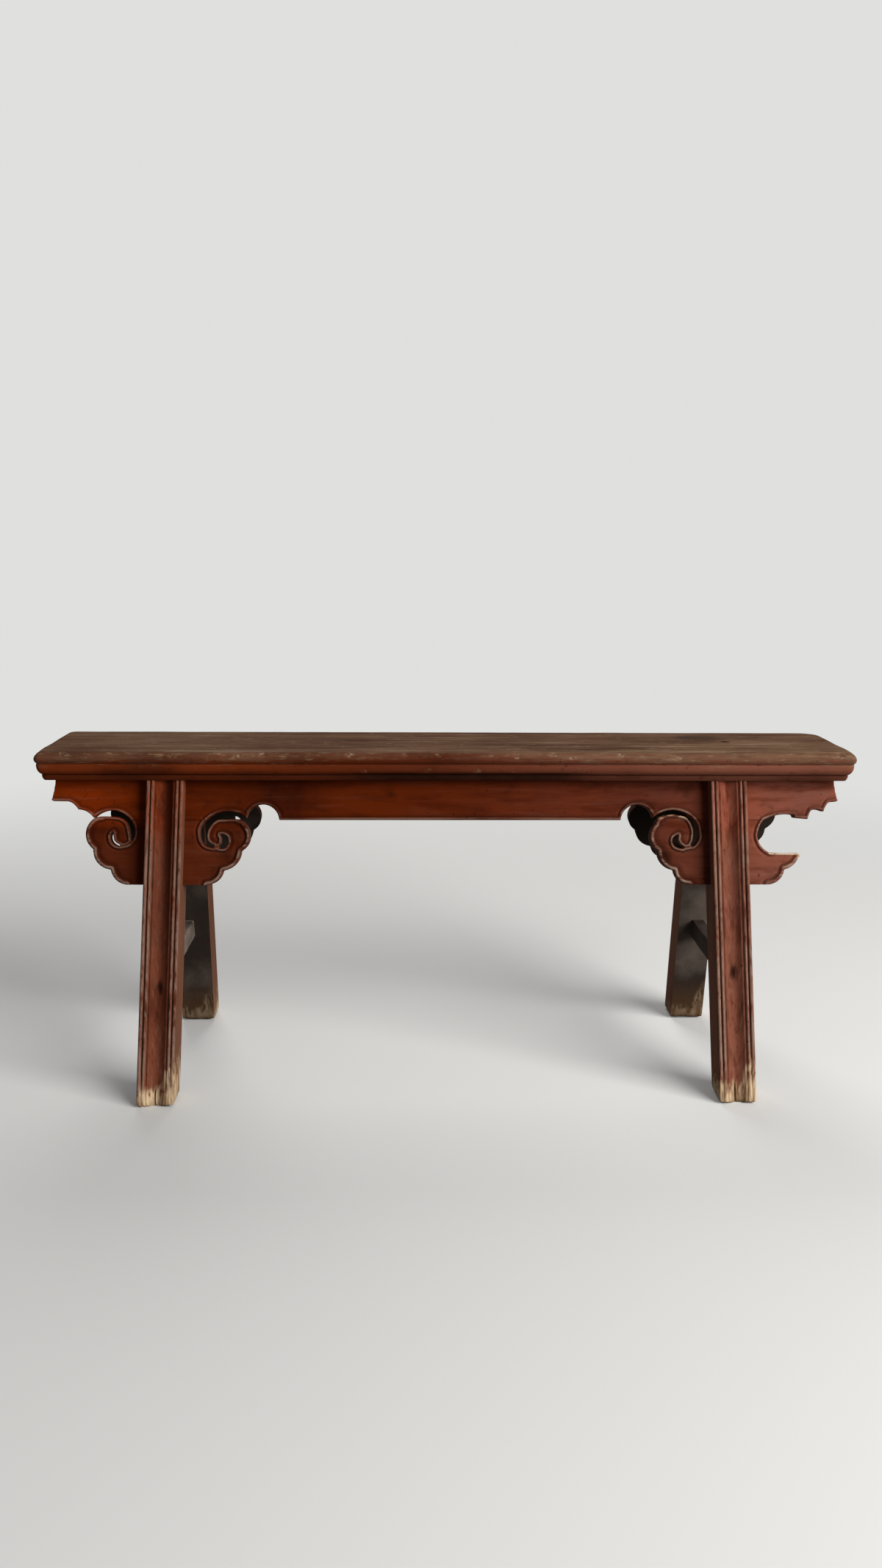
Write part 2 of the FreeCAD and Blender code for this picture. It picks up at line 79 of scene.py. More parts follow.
def select_edges(piece, wanted):
    """Selects the edges whose ends pass a test, and stays in edit mode."""
    bpy.ops.object.mode_set(mode="EDIT")
    bpy.ops.mesh.select_mode(type="EDGE")
    bpy.ops.mesh.select_all(action="DESELECT")
    bpy.ops.object.mode_set(mode="OBJECT")
    points = piece.data.vertices
    for edge in piece.data.edges:
        edge.select = wanted(*(points[i].co for i in edge.vertices))
    bpy.ops.object.mode_set(mode="EDIT")


def apply_modifier(piece, kind, **settings):
    """Adds a modifier, sets it and applies it."""
    modifier = piece.modifiers.new(kind.lower(), kind)
    for name, value in settings.items():
        setattr(modifier, name, value)
    bpy.context.view_layer.objects.active = piece
    bpy.ops.object.modifier_apply(modifier=modifier.name)


def points_of(piece):
    """The piece's points as rows of x, y and z."""
    flat = np.empty(len(piece.data.vertices) * 3)
    piece.data.vertices.foreach_get("co", flat)
    return flat.reshape(-1, 3)


def move_points(piece, points):
    """Gives the piece's points new places."""
    piece.data.vertices.foreach_set("co", points.ravel())
    piece.data.update()


def paint(piece, name, values):
    """Keeps one number per point under a name that the piece's finish can read."""
    layer = piece.data.attributes.get(name) or piece.data.attributes.new(name, "FLOAT", "POINT")
    layer.data.foreach_set("value", np.clip(values, 0, 1).astype(np.float32))


def ease(value, low, high):
    """0 at low, 1 at high, with a soft start and end."""
    t = np.clip((value - low) / (high - low), 0, 1)
    return t * t * (3 - 2 * t)


def rough(points, size, seed):
    """Smooth noise between about -1 and 1 at each point, for waves and dents of one size."""
    shift = Vector((seed * 3.1, seed * 1.7, seed * 2.3))
    sizes = np.broadcast_to(np.asarray(size, float), (3,))
    return np.array([noise.noise(Vector(p) + shift) for p in points / sizes])


def keep_as(piece, name, node):
    """Names a finished piece, ties it to the frame and hides the solid that it stands for."""
    piece.name = piece.data.name = name
    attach(piece, "root")
    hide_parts(node)
    print(name, len(piece.data.polygons), "faces")
    return piece


print("helpers ready")

# %% [markdown]
# ## The seat plank
# The seat is one thick board. Its edge is worked all round into a tall upper roll, a groove, a
# lower roll and a plain band. A profile could be swept round it, but the corners would need care.
# Here a fine grid at the underside is extruded upwards in small steps and resized at each one, so
# the moulding turns the corners by itself and the top is ready for dents.

# %% Seat: the moulding's levels
SEAT_LENGTH, SEAT_DEPTH, SEAT_TOP, UNDERSIDE = 1.175, 0.174, 0.500, 0.455


def swollen(start, end, swell, steps):
    """Points after start, up to end, on an arc that bows by swell to the right of the way."""
    (x0, y0), (x1, y1) = start, end
    run = math.hypot(x1 - x0, y1 - y0)
    along = ((x1 - x0) / run, (y1 - y0) / run)
    turn = 2 * math.atan(2 * swell / run) if swell else 0
    points = []
    for step in range(1, steps + 1):
        t = step / steps
        far, bow = t * run, 0
        if swell:
            angle = (2 * t - 1) * turn
            far = run / 2 * (1 + math.sin(angle) / math.sin(turn))
            bow = swell * (math.cos(angle) - math.cos(turn)) / (1 - math.cos(turn))
        points.append((x0 + along[0] * far + along[1] * bow, y0 + along[1] * far - along[0] * bow))
    return points


# Inset of the front and of the ends from the widest line and height above the underside, in
# millimetres, then the swell of both on the way up to there and its steps
EDGE_FOOT = (14, 9.6, 0)
EDGE_RUNS = [
    ((11.6, 7.6, 8.0), (-0.7, -0.7), 5),
    ((13.4, 9.0, 8.8), (0, 0), 1),
    ((8.6, 7.0, 9.8), (0, 0), 2),
    ((4.6, 2.2, 24), (-2.7, -1.2), 9),
    ((5.4, 2.8, 25), (0, 0), 1),
    ((7, 9.8, 45), (-5.6, -5.6), 15),
]
edge_levels = [EDGE_FOOT]
for (inset, end_inset, up), (swell, end_swell), steps in EDGE_RUNS:
    last = edge_levels[-1]
    fronts = swollen((last[0], last[2]), (inset, up), swell, steps)
    ends = swollen((last[1], last[2]), (end_inset, up), end_swell, steps)
    edge_levels += [(front[0], end[0], front[1]) for front, end in zip(fronts, ends)]
print("edge levels:", len(edge_levels), "widest inset:", round(min(level[0] for level in edge_levels), 2))

# %% Seat: grid, worn corners, extruded edge
SEAT_COLUMNS, SEAT_ROWS = 320, 46
CORNER_ROUNDS = {(-1, -1): 0.006, (1, -1): 0.006, (-1, 1): 0.008, (1, 1): 0.024}


def half_sizes(level):
    """Half the plank's length and depth at one level of the moulding."""
    return SEAT_LENGTH / 2 - level[1] * MM, SEAT_DEPTH / 2 - level[0] * MM


def round_corners(points, half):
    """Turns the square corners of a flat grid into worn round ones."""
    for (sx, sy), radius in CORNER_ROUNDS.items():
        over_x = points[:, 0] * sx - (half[0] - radius)
        over_y = points[:, 1] * sy - (half[1] - radius)
        corner = (over_x > 0) & (over_y > 0)
        ring = np.maximum(over_x, over_y)[corner]
        angle = np.pi / 4 * (1 + (over_y - over_x)[corner] / ring)
        points[corner, 0] = sx * (half[0] - radius + ring * np.cos(angle))
        points[corner, 1] = sy * (half[1] - radius + ring * np.sin(angle))
    return points


clear_selection()
bpy.ops.mesh.primitive_grid_add(x_subdivisions=SEAT_COLUMNS, y_subdivisions=SEAT_ROWS, size=2,
                                enter_editmode=True)
seat = bpy.context.object
half = half_sizes(EDGE_FOOT)
bpy.ops.transform.resize(value=(*half, 1), center_override=(0, 0, 0))
bpy.ops.transform.translate(value=(0, 0, UNDERSIDE))
bpy.ops.object.mode_set(mode="OBJECT")
move_points(seat, round_corners(points_of(seat), half))
bpy.ops.object.mode_set(mode="EDIT")
for level, after in zip(edge_levels, edge_levels[1:]):
    bpy.ops.mesh.extrude_region_move(TRANSFORM_OT_translate={"value": (0, 0, (after[2] - level[2]) * MM)})
    grow = [b / a for a, b in zip(half_sizes(level), half_sizes(after))]
    bpy.ops.transform.resize(value=(*grow, 1), center_override=(0, 0, 0))
bpy.ops.object.mode_set(mode="OBJECT")
print("seat faces:", len(seat.data.polygons), "size:", tuple(round(d, 4) for d in seat.dimensions))

# %% [markdown]
# ## Wear on the plank
# Decades of use have hollowed the top, rounded its front edge and broken the lowest band away along
# the middle of the front. A sculptor would brush this in. Here seeded noise gives the even wear, and
# single chips are pulled with proportional editing, which drags the points round the picked one.

# %% Seat: hollow top, waves and the broken band
BAND_LOSS_MIDDLE, BAND_LOSS_HALF, BAND_LOSS_FADE = 0.02, 0.10, 0.12
BAND_HEIGHT, BAND_LOSS = 0.0125, 0.0035
# Where the upper roll, the flat top, the used front part, its slope and the sides begin and are full
UPPER_ROLL, FLAT_TOP, USED_PART = (0.026, 0.045), (0.0435, 0.045), (0.07, -0.02)
FRONT_SLOPE, SIDES = (-0.05, -0.086), (0.06, 0.075)
# Sizes of long waves, short waves and fibres; then even wear and what those three add to it
LONG_WAVE, SHORT_WAVE, FIBRE = (0.12, 0.05, 0.05), (0.02, 0.012, 0.012), (0.05, 0.004, 0.004)
EVEN_WEAR, LONG_WEAR, SHORT_WEAR, FIBRE_WEAR = 0.0006, 0.0007, 0.0004, 0.0002
TOP_HOLLOW, FRONT_WEAR, SIDE_WEAR = 0.0008, 0.0014, 0.0004

points = points_of(seat)
x, y, z = points.T.copy()
height = z - UNDERSIDE
long_wave = rough(points, LONG_WAVE, 1)
short_wave = rough(points, SHORT_WAVE, 2)
fibre = rough(points, FIBRE, 3)
upper = ease(height, *UPPER_ROLL)
top = ease(height, *FLAT_TOP)
used = ease(y, *USED_PART)
hollow = TOP_HOLLOW * (1 - (x / SEAT_LENGTH * 2) ** 2)
points[:, 2] -= upper * used * (EVEN_WEAR + LONG_WEAR * long_wave + SHORT_WEAR * short_wave)
points[:, 2] -= top * (FIBRE_WEAR + FIBRE_WEAR * fibre + used * hollow)
points[:, 2] -= upper * FRONT_WEAR * ease(y, *FRONT_SLOPE)
inward = -np.sign(y) * ease(np.abs(y), *SIDES)
points[:, 1] += inward * SIDE_WEAR * (1 + long_wave + short_wave * (0.4 + upper))
lost = 1 - ease(np.abs(x - BAND_LOSS_MIDDLE), BAND_LOSS_HALF, BAND_LOSS_HALF + BAND_LOSS_FADE)
lost *= (y < -0.05) * (1 - ease(height, BAND_HEIGHT - 0.002, BAND_HEIGHT + 0.001))
ragged = np.clip(0.8 + 0.5 * short_wave, 0, 1)
points[:, 1] += lost * ragged * BAND_LOSS
move_points(seat, points)
print("band worn by up to", round(float((lost * ragged * BAND_LOSS).max() / MM), 1), "mm")

# %% Seat: chips along the front edge
# Place along the seat, height above the underside, reach and depth, all in millimetres
CHIPS = [
    (-545, 42, 12, 2.0), (-470, 43, 9, 1.6), (-404, 40, 8, 1.8), (-391, 38, 7, 1.5), (-318, 42, 10, 1.6),
    (-300, 37, 8, 2.0), (-262, 41, 11, 2.4), (-196, 43, 9, 1.6), (-140, 41, 10, 1.8), (-62, 42, 9, 1.6),
    (-15, 43, 12, 1.4), (62, 42, 10, 1.6), (98, 38, 8, 2.2), (150, 42, 12, 1.8), (176, 36, 7, 1.8),
    (246, 40, 9, 2.0), (322, 43, 10, 1.6), (330, 37, 7, 1.4), (410, 42, 9, 1.4), (560, 41, 14, 2.6),
    (-120, 14, 9, 2.2), (-30, 13, 12, 2.4), (40, 14, 10, 2.6), (95, 13, 9, 2.0),
]
# A chip is pushed in and down by these shares of its depth, and is pale out to these shares of its reach
CHIP_PUSH, CHIP_PALE = (0, 0.7, -0.6), (0.35, 0.9)


def dent(piece, place, push, reach):
    """Drags the nearest point and its neighbourhood, as proportional editing does by hand."""
    points = points_of(piece)
    nearest = int(np.argmin(((points - np.array(place)) ** 2).sum(axis=1)))
    bpy.ops.object.mode_set(mode="EDIT")
    bpy.ops.mesh.select_mode(type="VERT")
    bpy.ops.mesh.select_all(action="DESELECT")
    bpy.ops.object.mode_set(mode="OBJECT")
    piece.data.vertices[nearest].select = True
    bpy.ops.object.mode_set(mode="EDIT")
    bpy.ops.transform.translate(value=push, use_proportional_edit=True,
                                proportional_edit_falloff="SHARP", proportional_size=reach)
    bpy.ops.object.mode_set(mode="OBJECT")


pick(seat)
front = -SEAT_DEPTH / 2
for along, up, reach, depth in CHIPS:
    push = [share * depth * MM for share in CHIP_PUSH]
    dent(seat, (along * MM, front, UNDERSIDE + up * MM), push, reach * MM)

points = points_of(seat)
chipped = np.zeros(len(points))
for along, up, reach, depth in CHIPS:
    far = np.linalg.norm((points - (along * MM, front, UNDERSIDE + up * MM)) * (1, 1, 1.4), axis=1)
    chipped = np.maximum(chipped, 1 - ease(far, *(share * reach * MM for share in CHIP_PALE)))
paint(seat, "chip", chipped)
paint(seat, "lost", lost)
keep_as(seat, "seat_plank", "seat_top")

# %% [markdown]
# ## A leg
# Each leg is a stout post whose outer face is planed into two beads, a fine line and a flute on each
# side of a wide hollow. The post leans two ways at once. A box is added at the foot, its top face is
# pushed over by the splay, and only then is it divided, so that every row of points follows the
# lean. The moulding is a formula across the face, the way a shaped plane iron would cut it.

# %% Leg: leaning box, finely divided
LEG_WIDTH, LEG_DEPTH, BEAD_RISE = 0.053, 0.049, 0.0022
KICK_END, KICK_SIDE = 0.012, 0.108
FOOT_X, FOOT_Y = 0.4445 - LEG_WIDTH / 2, 0.179 - LEG_DEPTH / 2
LEAN = math.atan(KICK_SIDE / UNDERSIDE)
LEG_CUTS = (71, 9, 150)

post_size = LEG_WIDTH, LEG_DEPTH - BEAD_RISE, UNDERSIDE
post = add_box(post_size, (-FOOT_X, -FOOT_Y + BEAD_RISE / 2, UNDERSIDE / 2))
post.name = "leg_pattern"
select_edges(post, lambda a, b: min(a.z, b.z) > UNDERSIDE / 2)
bpy.ops.transform.translate(value=(KICK_END, KICK_SIDE, 0))
select_edges(post, lambda a, b: abs(a.z - b.z) < MM and abs(a.x - b.x) > MM)
bpy.ops.mesh.subdivide(number_cuts=LEG_CUTS[0])
select_edges(post, lambda a, b: abs(a.z - b.z) < MM and abs(a.y - b.y) > MM)
bpy.ops.mesh.subdivide(number_cuts=LEG_CUTS[1])
select_edges(post, lambda a, b: abs(a.z - b.z) > MM)
bpy.ops.mesh.subdivide(number_cuts=LEG_CUTS[2])
bpy.ops.object.mode_set(mode="OBJECT")
print("leg pattern:", len(post.data.polygons), "faces")

# %% Leg: the face moulding
BEAD, QUIRK, INNER_BEAD, FLUTE = 5.4, 1.3, 4.6, 2.8
QUIRK_DEPTH, FLUTE_DEPTH, FACE_HOLLOW = 1.1, 1.0, 5.5
FLUTE_START = BEAD + QUIRK + INNER_BEAD
HALF_HOLLOW = LEG_WIDTH / MM / 2 - FLUTE_START - FLUTE


def hump(across, start, width):
    """A half round over one member of the moulding, 0 at its sides and 1 in its middle."""
    t = (across - start) / width * 2 - 1
    return np.sqrt(np.clip(1 - t * t, 0, None))


def both_beads(across):
    """The half rounds of the outer and the inner bead."""
    return np.maximum(hump(across, 0, BEAD), hump(across, BEAD + QUIRK, INNER_BEAD))


def moulding(across):
    """How far the face stands above the beads' foot, in millimetres, from the leg's side inwards."""
    middle = np.clip((across - FLUTE_START - FLUTE) / HALF_HOLLOW, 0, 1)
    rise = BEAD_RISE / MM * both_beads(across) - QUIRK_DEPTH * hump(across, BEAD, QUIRK)
    return rise - FLUTE_DEPTH * hump(across, FLUTE_START, FLUTE) - FACE_HOLLOW * (1 - (1 - middle) ** 2)


def in_leg(points, side, face):
    """Places across and behind a leg's middle line, for the leg on that side and face."""
    up = points[:, 2] / UNDERSIDE
    across = points[:, 0] * side - FOOT_X + KICK_END * up
    behind = FOOT_Y - KICK_SIDE * up - points[:, 1] * face
    return across, behind


def from_edge(across):
    """Distance from the nearer side of the leg, in millimetres."""
    return np.clip(LEG_WIDTH / 2 - np.abs(across), 0, None) / MM


points = points_of(post)
across, behind = in_leg(points, -1, -1)
on_face = behind < -LEG_DEPTH / 2 + BEAD_RISE + 0.1 * MM
points[on_face, 1] -= moulding(from_edge(across[on_face])) * MM
move_points(post, points)
print("points on the moulded face:", int(on_face.sum()))

# %% [markdown]
# ## Four legs
# The fork is a slot as thick as the boards, cut down from the top at the legs' lean. A boolean takes
# it out of the pattern. The other legs are copies: turned half round for the opposite corner, and
# mirrored for the neighbours, with their normals turned out again.

# %% Leg: the fork
APRON_LINE, BOARD_THICK, BOARD_DROP, JOINT_GAP = 0.051, 0.016, 0.156, 0.0002
BOARD_LEAN, FORK_REACH = math.pi / 2 - LEAN, 0.2


def lay_on_board(piece):
    """Stands a piece drawn flat, with its face up, on the front boards' leaning face."""
    pick(piece)
    piece.rotation_euler = (BOARD_LEAN, 0, 0)
    piece.location = (0, -APRON_LINE, UNDERSIDE)
    bpy.ops.object.transform_apply(location=True, rotation=True, scale=True)


slot_size = FORK_REACH, 2 * (BOARD_DROP + JOINT_GAP), BOARD_THICK + 2 * JOINT_GAP
slot = add_box(slot_size, (-FOOT_X, 0, -BOARD_THICK / 2))
lay_on_board(slot)
apply_modifier(post, "BOOLEAN", operation="DIFFERENCE", solver="EXACT", object=slot)
bpy.data.objects.remove(slot)
print("forked pattern:", len(post.data.polygons), "faces")

# %% Leg: copying a pattern
def copy_piece(pattern, name, turn=(1, 1)):
    """A copy with its own mesh, mirrored along x or y where turn is negative."""
    piece = pattern.copy()
    piece.data = pattern.data.copy()
    piece.name = name
    bpy.context.collection.objects.link(piece)
    pick(piece)
    piece.scale = (*turn, 1)
    bpy.ops.object.transform_apply(location=True, rotation=True, scale=True)
    if turn[0] * turn[1] < 0:
        bpy.ops.object.mode_set(mode="EDIT")
        bpy.ops.mesh.select_all(action="SELECT")
        bpy.ops.mesh.normals_make_consistent(inside=False)
        bpy.ops.object.mode_set(mode="OBJECT")
    return piece


print("legs are copied from", post.name)

# %% [markdown]
# ## Wear on the legs
# The feet are the most worn: their edges are round, the moulding is flattened, the wood has split
# upwards and the lacquer is gone. Each leg also has nicked beads and an open knot. It could be
# sculpted leg by leg. Here one formula has a seed and places of its own for each leg, and what it
# finds is kept on the points for the finish: rims, grooves, pits, painted shade in the hollow and
# bare wood.

# %% Leg: how one wears
FOOT_ROUND, WORN_FOOT, KNOT_SIZE, KNOT_DEPTH = 0.0075, 0.060, 0.0080, 0.0024
SPLIT_WIDTH, SPLIT_DEPTH, SPLIT_WANDER = 0.0011, 0.007, 0.0012
WAVE_SIZE, NICK_SIZE = (0.02, 0.02, 0.09), (0.004, 0.004, 0.016)
WAVE_DEPTH, NICK_DEPTH = 0.0002, 0.0009
RAGGED_SIZE, FLAKE_SIZE = (0.014, 0.014, 0.03), (0.004, 0.004, 0.014)


def wear_leg(piece, side, face, seed, split, split_high, bare, strength, knot, slide):
    """Rounds and splits the foot, nicks the beads and leaves an open knot in the wide hollow."""
    points = points_of(piece)
    across, behind = in_leg(points, side, face)
    up = points[:, 2].copy()
    edge = from_edge(across)
    face_line = -LEG_DEPTH / 2 + BEAD_RISE + MM
    on_face = (behind < face_line) | ((behind < face_line + FACE_HOLLOW * MM) & (edge > BEAD))
    wave = rough(points, WAVE_SIZE, seed)
    nick = rough(points, NICK_SIZE, seed + 20)
    worn = (1 - ease(up, WORN_FOOT * 0.3, WORN_FOOT)) * np.clip(0.75 + 0.6 * wave, 0, 1)
    lowered = np.clip(moulding(edge) + 0.8, 0, 3) * 0.8 - np.clip(hump(edge, BEAD, QUIRK), 0, 1)
    line = np.abs(across - split - SPLIT_WANDER * rough(points * (0, 0, 1), 0.02, seed + 40))
    crack = 1 - ease(line, 0.3 * SPLIT_WIDTH, SPLIT_WIDTH)
    crack *= 1 - ease(up, 0.3 * split_high, split_high)
    hole = np.hypot(across, (up - knot) / 2) * (1 - 0.35 * wave)
    pit = (1 - ease(hole, 0.25 * KNOT_SIZE, KNOT_SIZE)) * np.clip(0.7 + nick, 0, 1)
    back = WAVE_DEPTH * wave + NICK_DEPTH * np.clip(nick - 0.45, 0, 1) + worn * lowered * MM
    back += crack * SPLIT_DEPTH + pit * KNOT_DEPTH
    low = np.clip(1 - up / FOOT_ROUND, 0, 1)
    shrink = 1 - (1 - np.sqrt(1 - low ** 2)) * FOOT_ROUND / (LEG_WIDTH / 2) * (1 + 0.5 * wave)
    points[:, 0] += side * across * (shrink - 1) + slide
    points[:, 1] -= face * (behind * (shrink - 1) + on_face * back)
    move_points(piece, points)

    hollow = np.maximum(hump(edge, BEAD - 0.2, QUIRK + 0.4), 0.4 * hump(edge, FLUTE_START, FLUTE))
    right = side * across / LEG_WIDTH * 2
    paint(piece, "rim", on_face * both_beads(edge) ** 2 * (1 - hollow))
    paint(piece, "groove", on_face * hollow * (1 - worn))
    paint(piece, "pit", on_face * np.maximum(crack, pit))
    dimmed = ease(edge, FLUTE_START, FLUTE_START + 5)
    # Painted shade in the wide hollow, heavier on its right flank, which the lamp at the right leaves dark
    paint(piece, "recess", on_face * dimmed * (0.35 + 0.65 * ease(right, -0.3, 0.2)))
    high = bare * (0.65 + 0.85 * ease(right, 0.1, 0.8))
    ragged = up + 0.010 * rough(points, RAGGED_SIZE, seed + 60) + 0.003 * nick
    flakes = ease(rough(points, FLAKE_SIZE, seed + 61), -0.2, 0.15) * (1 - ease(ragged, 0.6 * high, high))
    stripped = np.maximum(1 - ease(ragged, 0.35 * high, 0.55 * high), flakes)
    corner = ease(right, 0.8, 0.95) * (1 - ease(ragged, 0.35 * bare, 0.45 * bare))
    paint(piece, "bare", np.maximum(strength * stripped, 0.8 * corner))


print("feet worn up to", round(WORN_FOOT / MM), "mm")

# %% Leg: four worn copies
# Side and face of the bench, seed, split's place and height, height of the bare foot and how bare it
# is, the knot's height, and how far along the bench the leg stands from its mirrored place
LEGS = {
    "leg_front_left": (-1, -1, 11, 0.001, 0.030, 0.050, 1, 0.164, 0),
    "leg_front_right": (1, -1, 12, -0.003, 0.036, 0.056, 1, 0.182, 0),
    "leg_rear_left": (-1, 1, 13, 0.004, 0.026, 0.046, 0.25, 0.240, 0.008),
    "leg_rear_right": (1, 1, 14, -0.006, 0.026, 0.052, 0.28, 0.210, -0.004),
}
for name, (side, face, *habits) in LEGS.items():
    leg = copy_piece(post, name, (-side, -face))
    wear_leg(leg, side, face, *habits)
    keep_as(leg, name + "_post", name)
bpy.data.objects.remove(post)

# %% [markdown]
# ## Apron and scroll boards: outlines
# The aprons and the cloud-scroll boards are sawn from boards of one thickness. Each outline is a flat
# curve of corners joined by straight lines or arcs. Every scroll was cut by eye, so each wing has its
# own lobes, its own pierced slot that runs round the scroll, and a comma pierced beside the eye.

# %% Boards: the outlines
APRON_HEIGHT, BOARD_MIDDLE = 62.0, 408.06


def drawn(corners):
    """A line through corners (across, drop, swell to the next one), in millimetres."""
    points = [corners[0][:2]]
    for corner, after in zip(corners, corners[1:]):
        swell = corner[2] if len(corner) > 2 else 0
        run = math.hypot(after[0] - corner[0], after[1] - corner[1])
        points += swollen(corner[:2], after[:2], -swell, max(2, round(run / 1.5)) if swell else 1)
    return points


# Each wing is drawn on the right of its leg: lobes from the foot up to the crest, the scroll from the
# crest round to the slot's end, the slot's outer wall back up to the seam, the comma, and the line
# carved from slot to comma
WINGS = {
    "left_outer": dict(
        lobes=[(57, 155.4, 5.2), (79.4, 133.5, 8), (104.4, 104.2, 10.9), (105, 60.7, 0.9), (93, 56.8)],
        scroll=[(93, 56.8, 0.4), (69, 58.0, 2.2), (55.2, 69.5, 0.8), (50.8, 89.8), (49.4, 91.8)],
        wall=[(48.3, 91, -4.8), (51, 62)],
        comma=[(76.6, 79.3, -0.7), (80.2, 86.5, -0.9), (77, 95.2, -1.2), (66, 99.9), (66, 97.6, 1.0),
               (74.6, 91.4, 0.6), (75.6, 81)],
        line=[(49.4, 91.5, 3.0), (66, 98.8)]),
    "left_inner": dict(
        lobes=[(59, 156, 5.5), (82, 135.5, 7), (108, 107, 10.4), (113, 67, 1.4), (103, 60.8)],
        scroll=[(103, 60.8, 0.3), (75, 61.2, 1.6), (62, 73, 1.2), (58.6, 88, 1.5), (66, 97.6),
                (68.6, 98.2)],
        wall=[(68.8, 102.4, -0.7), (56, 98.9, -2.0), (48.7, 83, -1.4), (51, 70, -0.7), (58, 62)],
        comma=[(77.3, 83, -0.8), (85, 83.9, -0.8), (88.8, 89, -1.0), (87.4, 98.5, -1.4), (80, 103.4),
               (75.4, 102.8), (75.6, 99.4, 0.6), (79, 95.5, 0.5), (79.4, 87.5)],
        line=[(67.8, 100.4), (77, 101)]),
    "right_inner": dict(
        lobes=[(56, 156, 5.5), (77.5, 135.5, 7), (101.5, 107, 9.5), (105, 67.5, 1.8), (97.5, 57)],
        scroll=[(97.5, 57, 0.8), (80, 53.8, 0.8), (61, 57.2, 1.5), (51, 70.5, 1.4), (49.8, 87, 0.9),
                (53.2, 97.2)],
        wall=[(51.4, 100.6, -1.0), (43.8, 94.5, -2.0), (41.6, 78, -1.6), (47.5, 62)],
        comma=[(71.3, 83.6, -0.8), (78, 86.8, -0.5), (80, 92, -0.5), (78.7, 97, -0.8),
               (73.7, 101.6, -0.6), (65, 103.4), (61.8, 101.8, 0.4), (67, 98.2, 0.5), (70.7, 94, 0.5),
               (72, 89)],
        line=[(51.8, 99, 1.0), (63, 101.4)]),
}
WINGS["rear_inner"] = dict(
    WINGS["left_inner"], scroll=[(103, 60.8, 0.3), (75, 61.2, 1.6), (63.5, 72)],
    wall=[(61.5, 71.5, -1.0), (60, 62)], line=[(62.5, 71.5, -7.5), (76, 102)])
WINGS["rear_outer"] = dict(
    WINGS["left_outer"],
    lobes=[(51, 155.4, 5.2), (72.4, 133.5, 8), (97, 104.2, 10.9), (102, 60.7, 0.9), (93, 56.8)])
STUMP_FOOT = [(61, 156.2, 6), (85, 134.2, 3.5), (106, 116.5)]
STUMP_TEAR = [(106, 116.5, 0.3), (109.6, 111.8), (105, 110.2, -0.3), (64, 109.6)]
STUMP_WALL = [(64, 109.6, -4.6), (45.4, 84, -1.7), (54.5, 62)]


def mirrored_line(points):
    """The same line on the other side of the leg's middle, walked the other way."""
    return [(-across, drop) for across, drop in reversed(points)]


def whole_wing(wing):
    """One wing from its foot, up over the lobes, round the slot and back to the seam."""
    return drawn(wing["lobes"]) + drawn(wing["scroll"])[1:] + drawn(wing["wall"])


print("wing points:", {name: len(whole_wing(wing)) for name, wing in WINGS.items()})

# %% Boards: from outline to carved board
# How far the cut line is from an outer edge and from a slot's, how deep it is, the field's share of
# that depth, and how much less the beads of a scroll and of its slot's wall are rubbed than outer ones
EDGE_LINE, SLOT_LINE, LINE_DEPTH, FIELD_SHARE = 7.6, 5.2, 2.4, 0.45
SCROLL_RUBBED, WALL_RUBBED = 0.65, 0.3
# The carving fades out behind the face, and the sawn outline's loose ends are joined within this gap
FACE_FADE, WELD_GAP = (-9 * MM, -MM), 0.00001


def carving(far):
    """Depth as a share of the cut line's, below the bead's crest; far is 0 at an edge, 1 at its line."""
    edge = 1 - np.sqrt(np.clip(1 - np.clip(1 - 2 * far, 0, 1) ** 2, 0, 1))
    return edge + ease(far, 0.5, 0.95) - (1 - FIELD_SHARE) * ease(far, 1.0, 1.8)


def saw_board(name, outlines, voxel):
    """A flat outline, with holes, given the boards' thickness and an even skin of small faces."""
    curve = bpy.data.curves.new(name, "CURVE")
    curve.dimensions, curve.fill_mode, curve.extrude = "2D", "BOTH", BOARD_THICK / 2
    for outline in outlines:
        line = curve.splines.new("POLY")
        line.points.add(len(outline) - 1)
        for point, (across, drop) in zip(line.points, outline):
            point.co = (across * MM, -drop * MM, 0, 1)
        line.use_cyclic_u = True
    board = bpy.data.objects.new(name, curve)
    bpy.context.collection.objects.link(board)
    board.location.z = -BOARD_THICK / 2
    pick(board)
    bpy.ops.object.convert(target="MESH")
    bpy.ops.object.transform_apply(location=True, rotation=True, scale=True)
    apply_modifier(board, "WELD", merge_threshold=WELD_GAP)
    apply_modifier(board, "REMESH", mode="VOXEL", voxel_size=voxel)
    apply_modifier(board, "SMOOTH", factor=0.5, iterations=2)
    return board


def distances(points, line):
    """How far each point is from the nearest one on a line, in millimetres across the board's face."""
    tree = kdtree.KDTree(len(line))
    for index, (across, drop) in enumerate(line):
        tree.insert((across, -drop, 0), index)
    tree.balance()
    return np.array([tree.find((px / MM, py / MM, 0))[2] for px, py, pz in points])


def carve_board(board, beads, seed):
    """Carves beads along edges; each is a set of points, how far its line is and how much it is rubbed."""
    points = points_of(board)
    face = ease(points[:, 2], *FACE_FADE)
    wave = rough(points, 0.012, seed)
    nick = rough(points, 0.0045, seed + 5)
    each = np.array([(distances(points, edges) + 0.25 * wave) / line_at for edges, line_at, _ in beads])
    far = np.clip(each.min(axis=0), 0, None)
    touched = np.array([rubbed for _, _, rubbed in beads])[each.argmin(axis=0)]
    low = carving(far)
    worn = 0.5 * np.clip(nick - 0.35, 0, 1) * (1 - low)
    points[:, 2] -= face * np.clip(LINE_DEPTH * low + 0.15 * wave + worn, 0, None) * MM
    move_points(board, points)
    paint(board, "rim", face * touched * np.clip(1 - 2.4 * low, 0, 1))
    paint(board, "groove", face * hump(far, 0.72, 0.5))


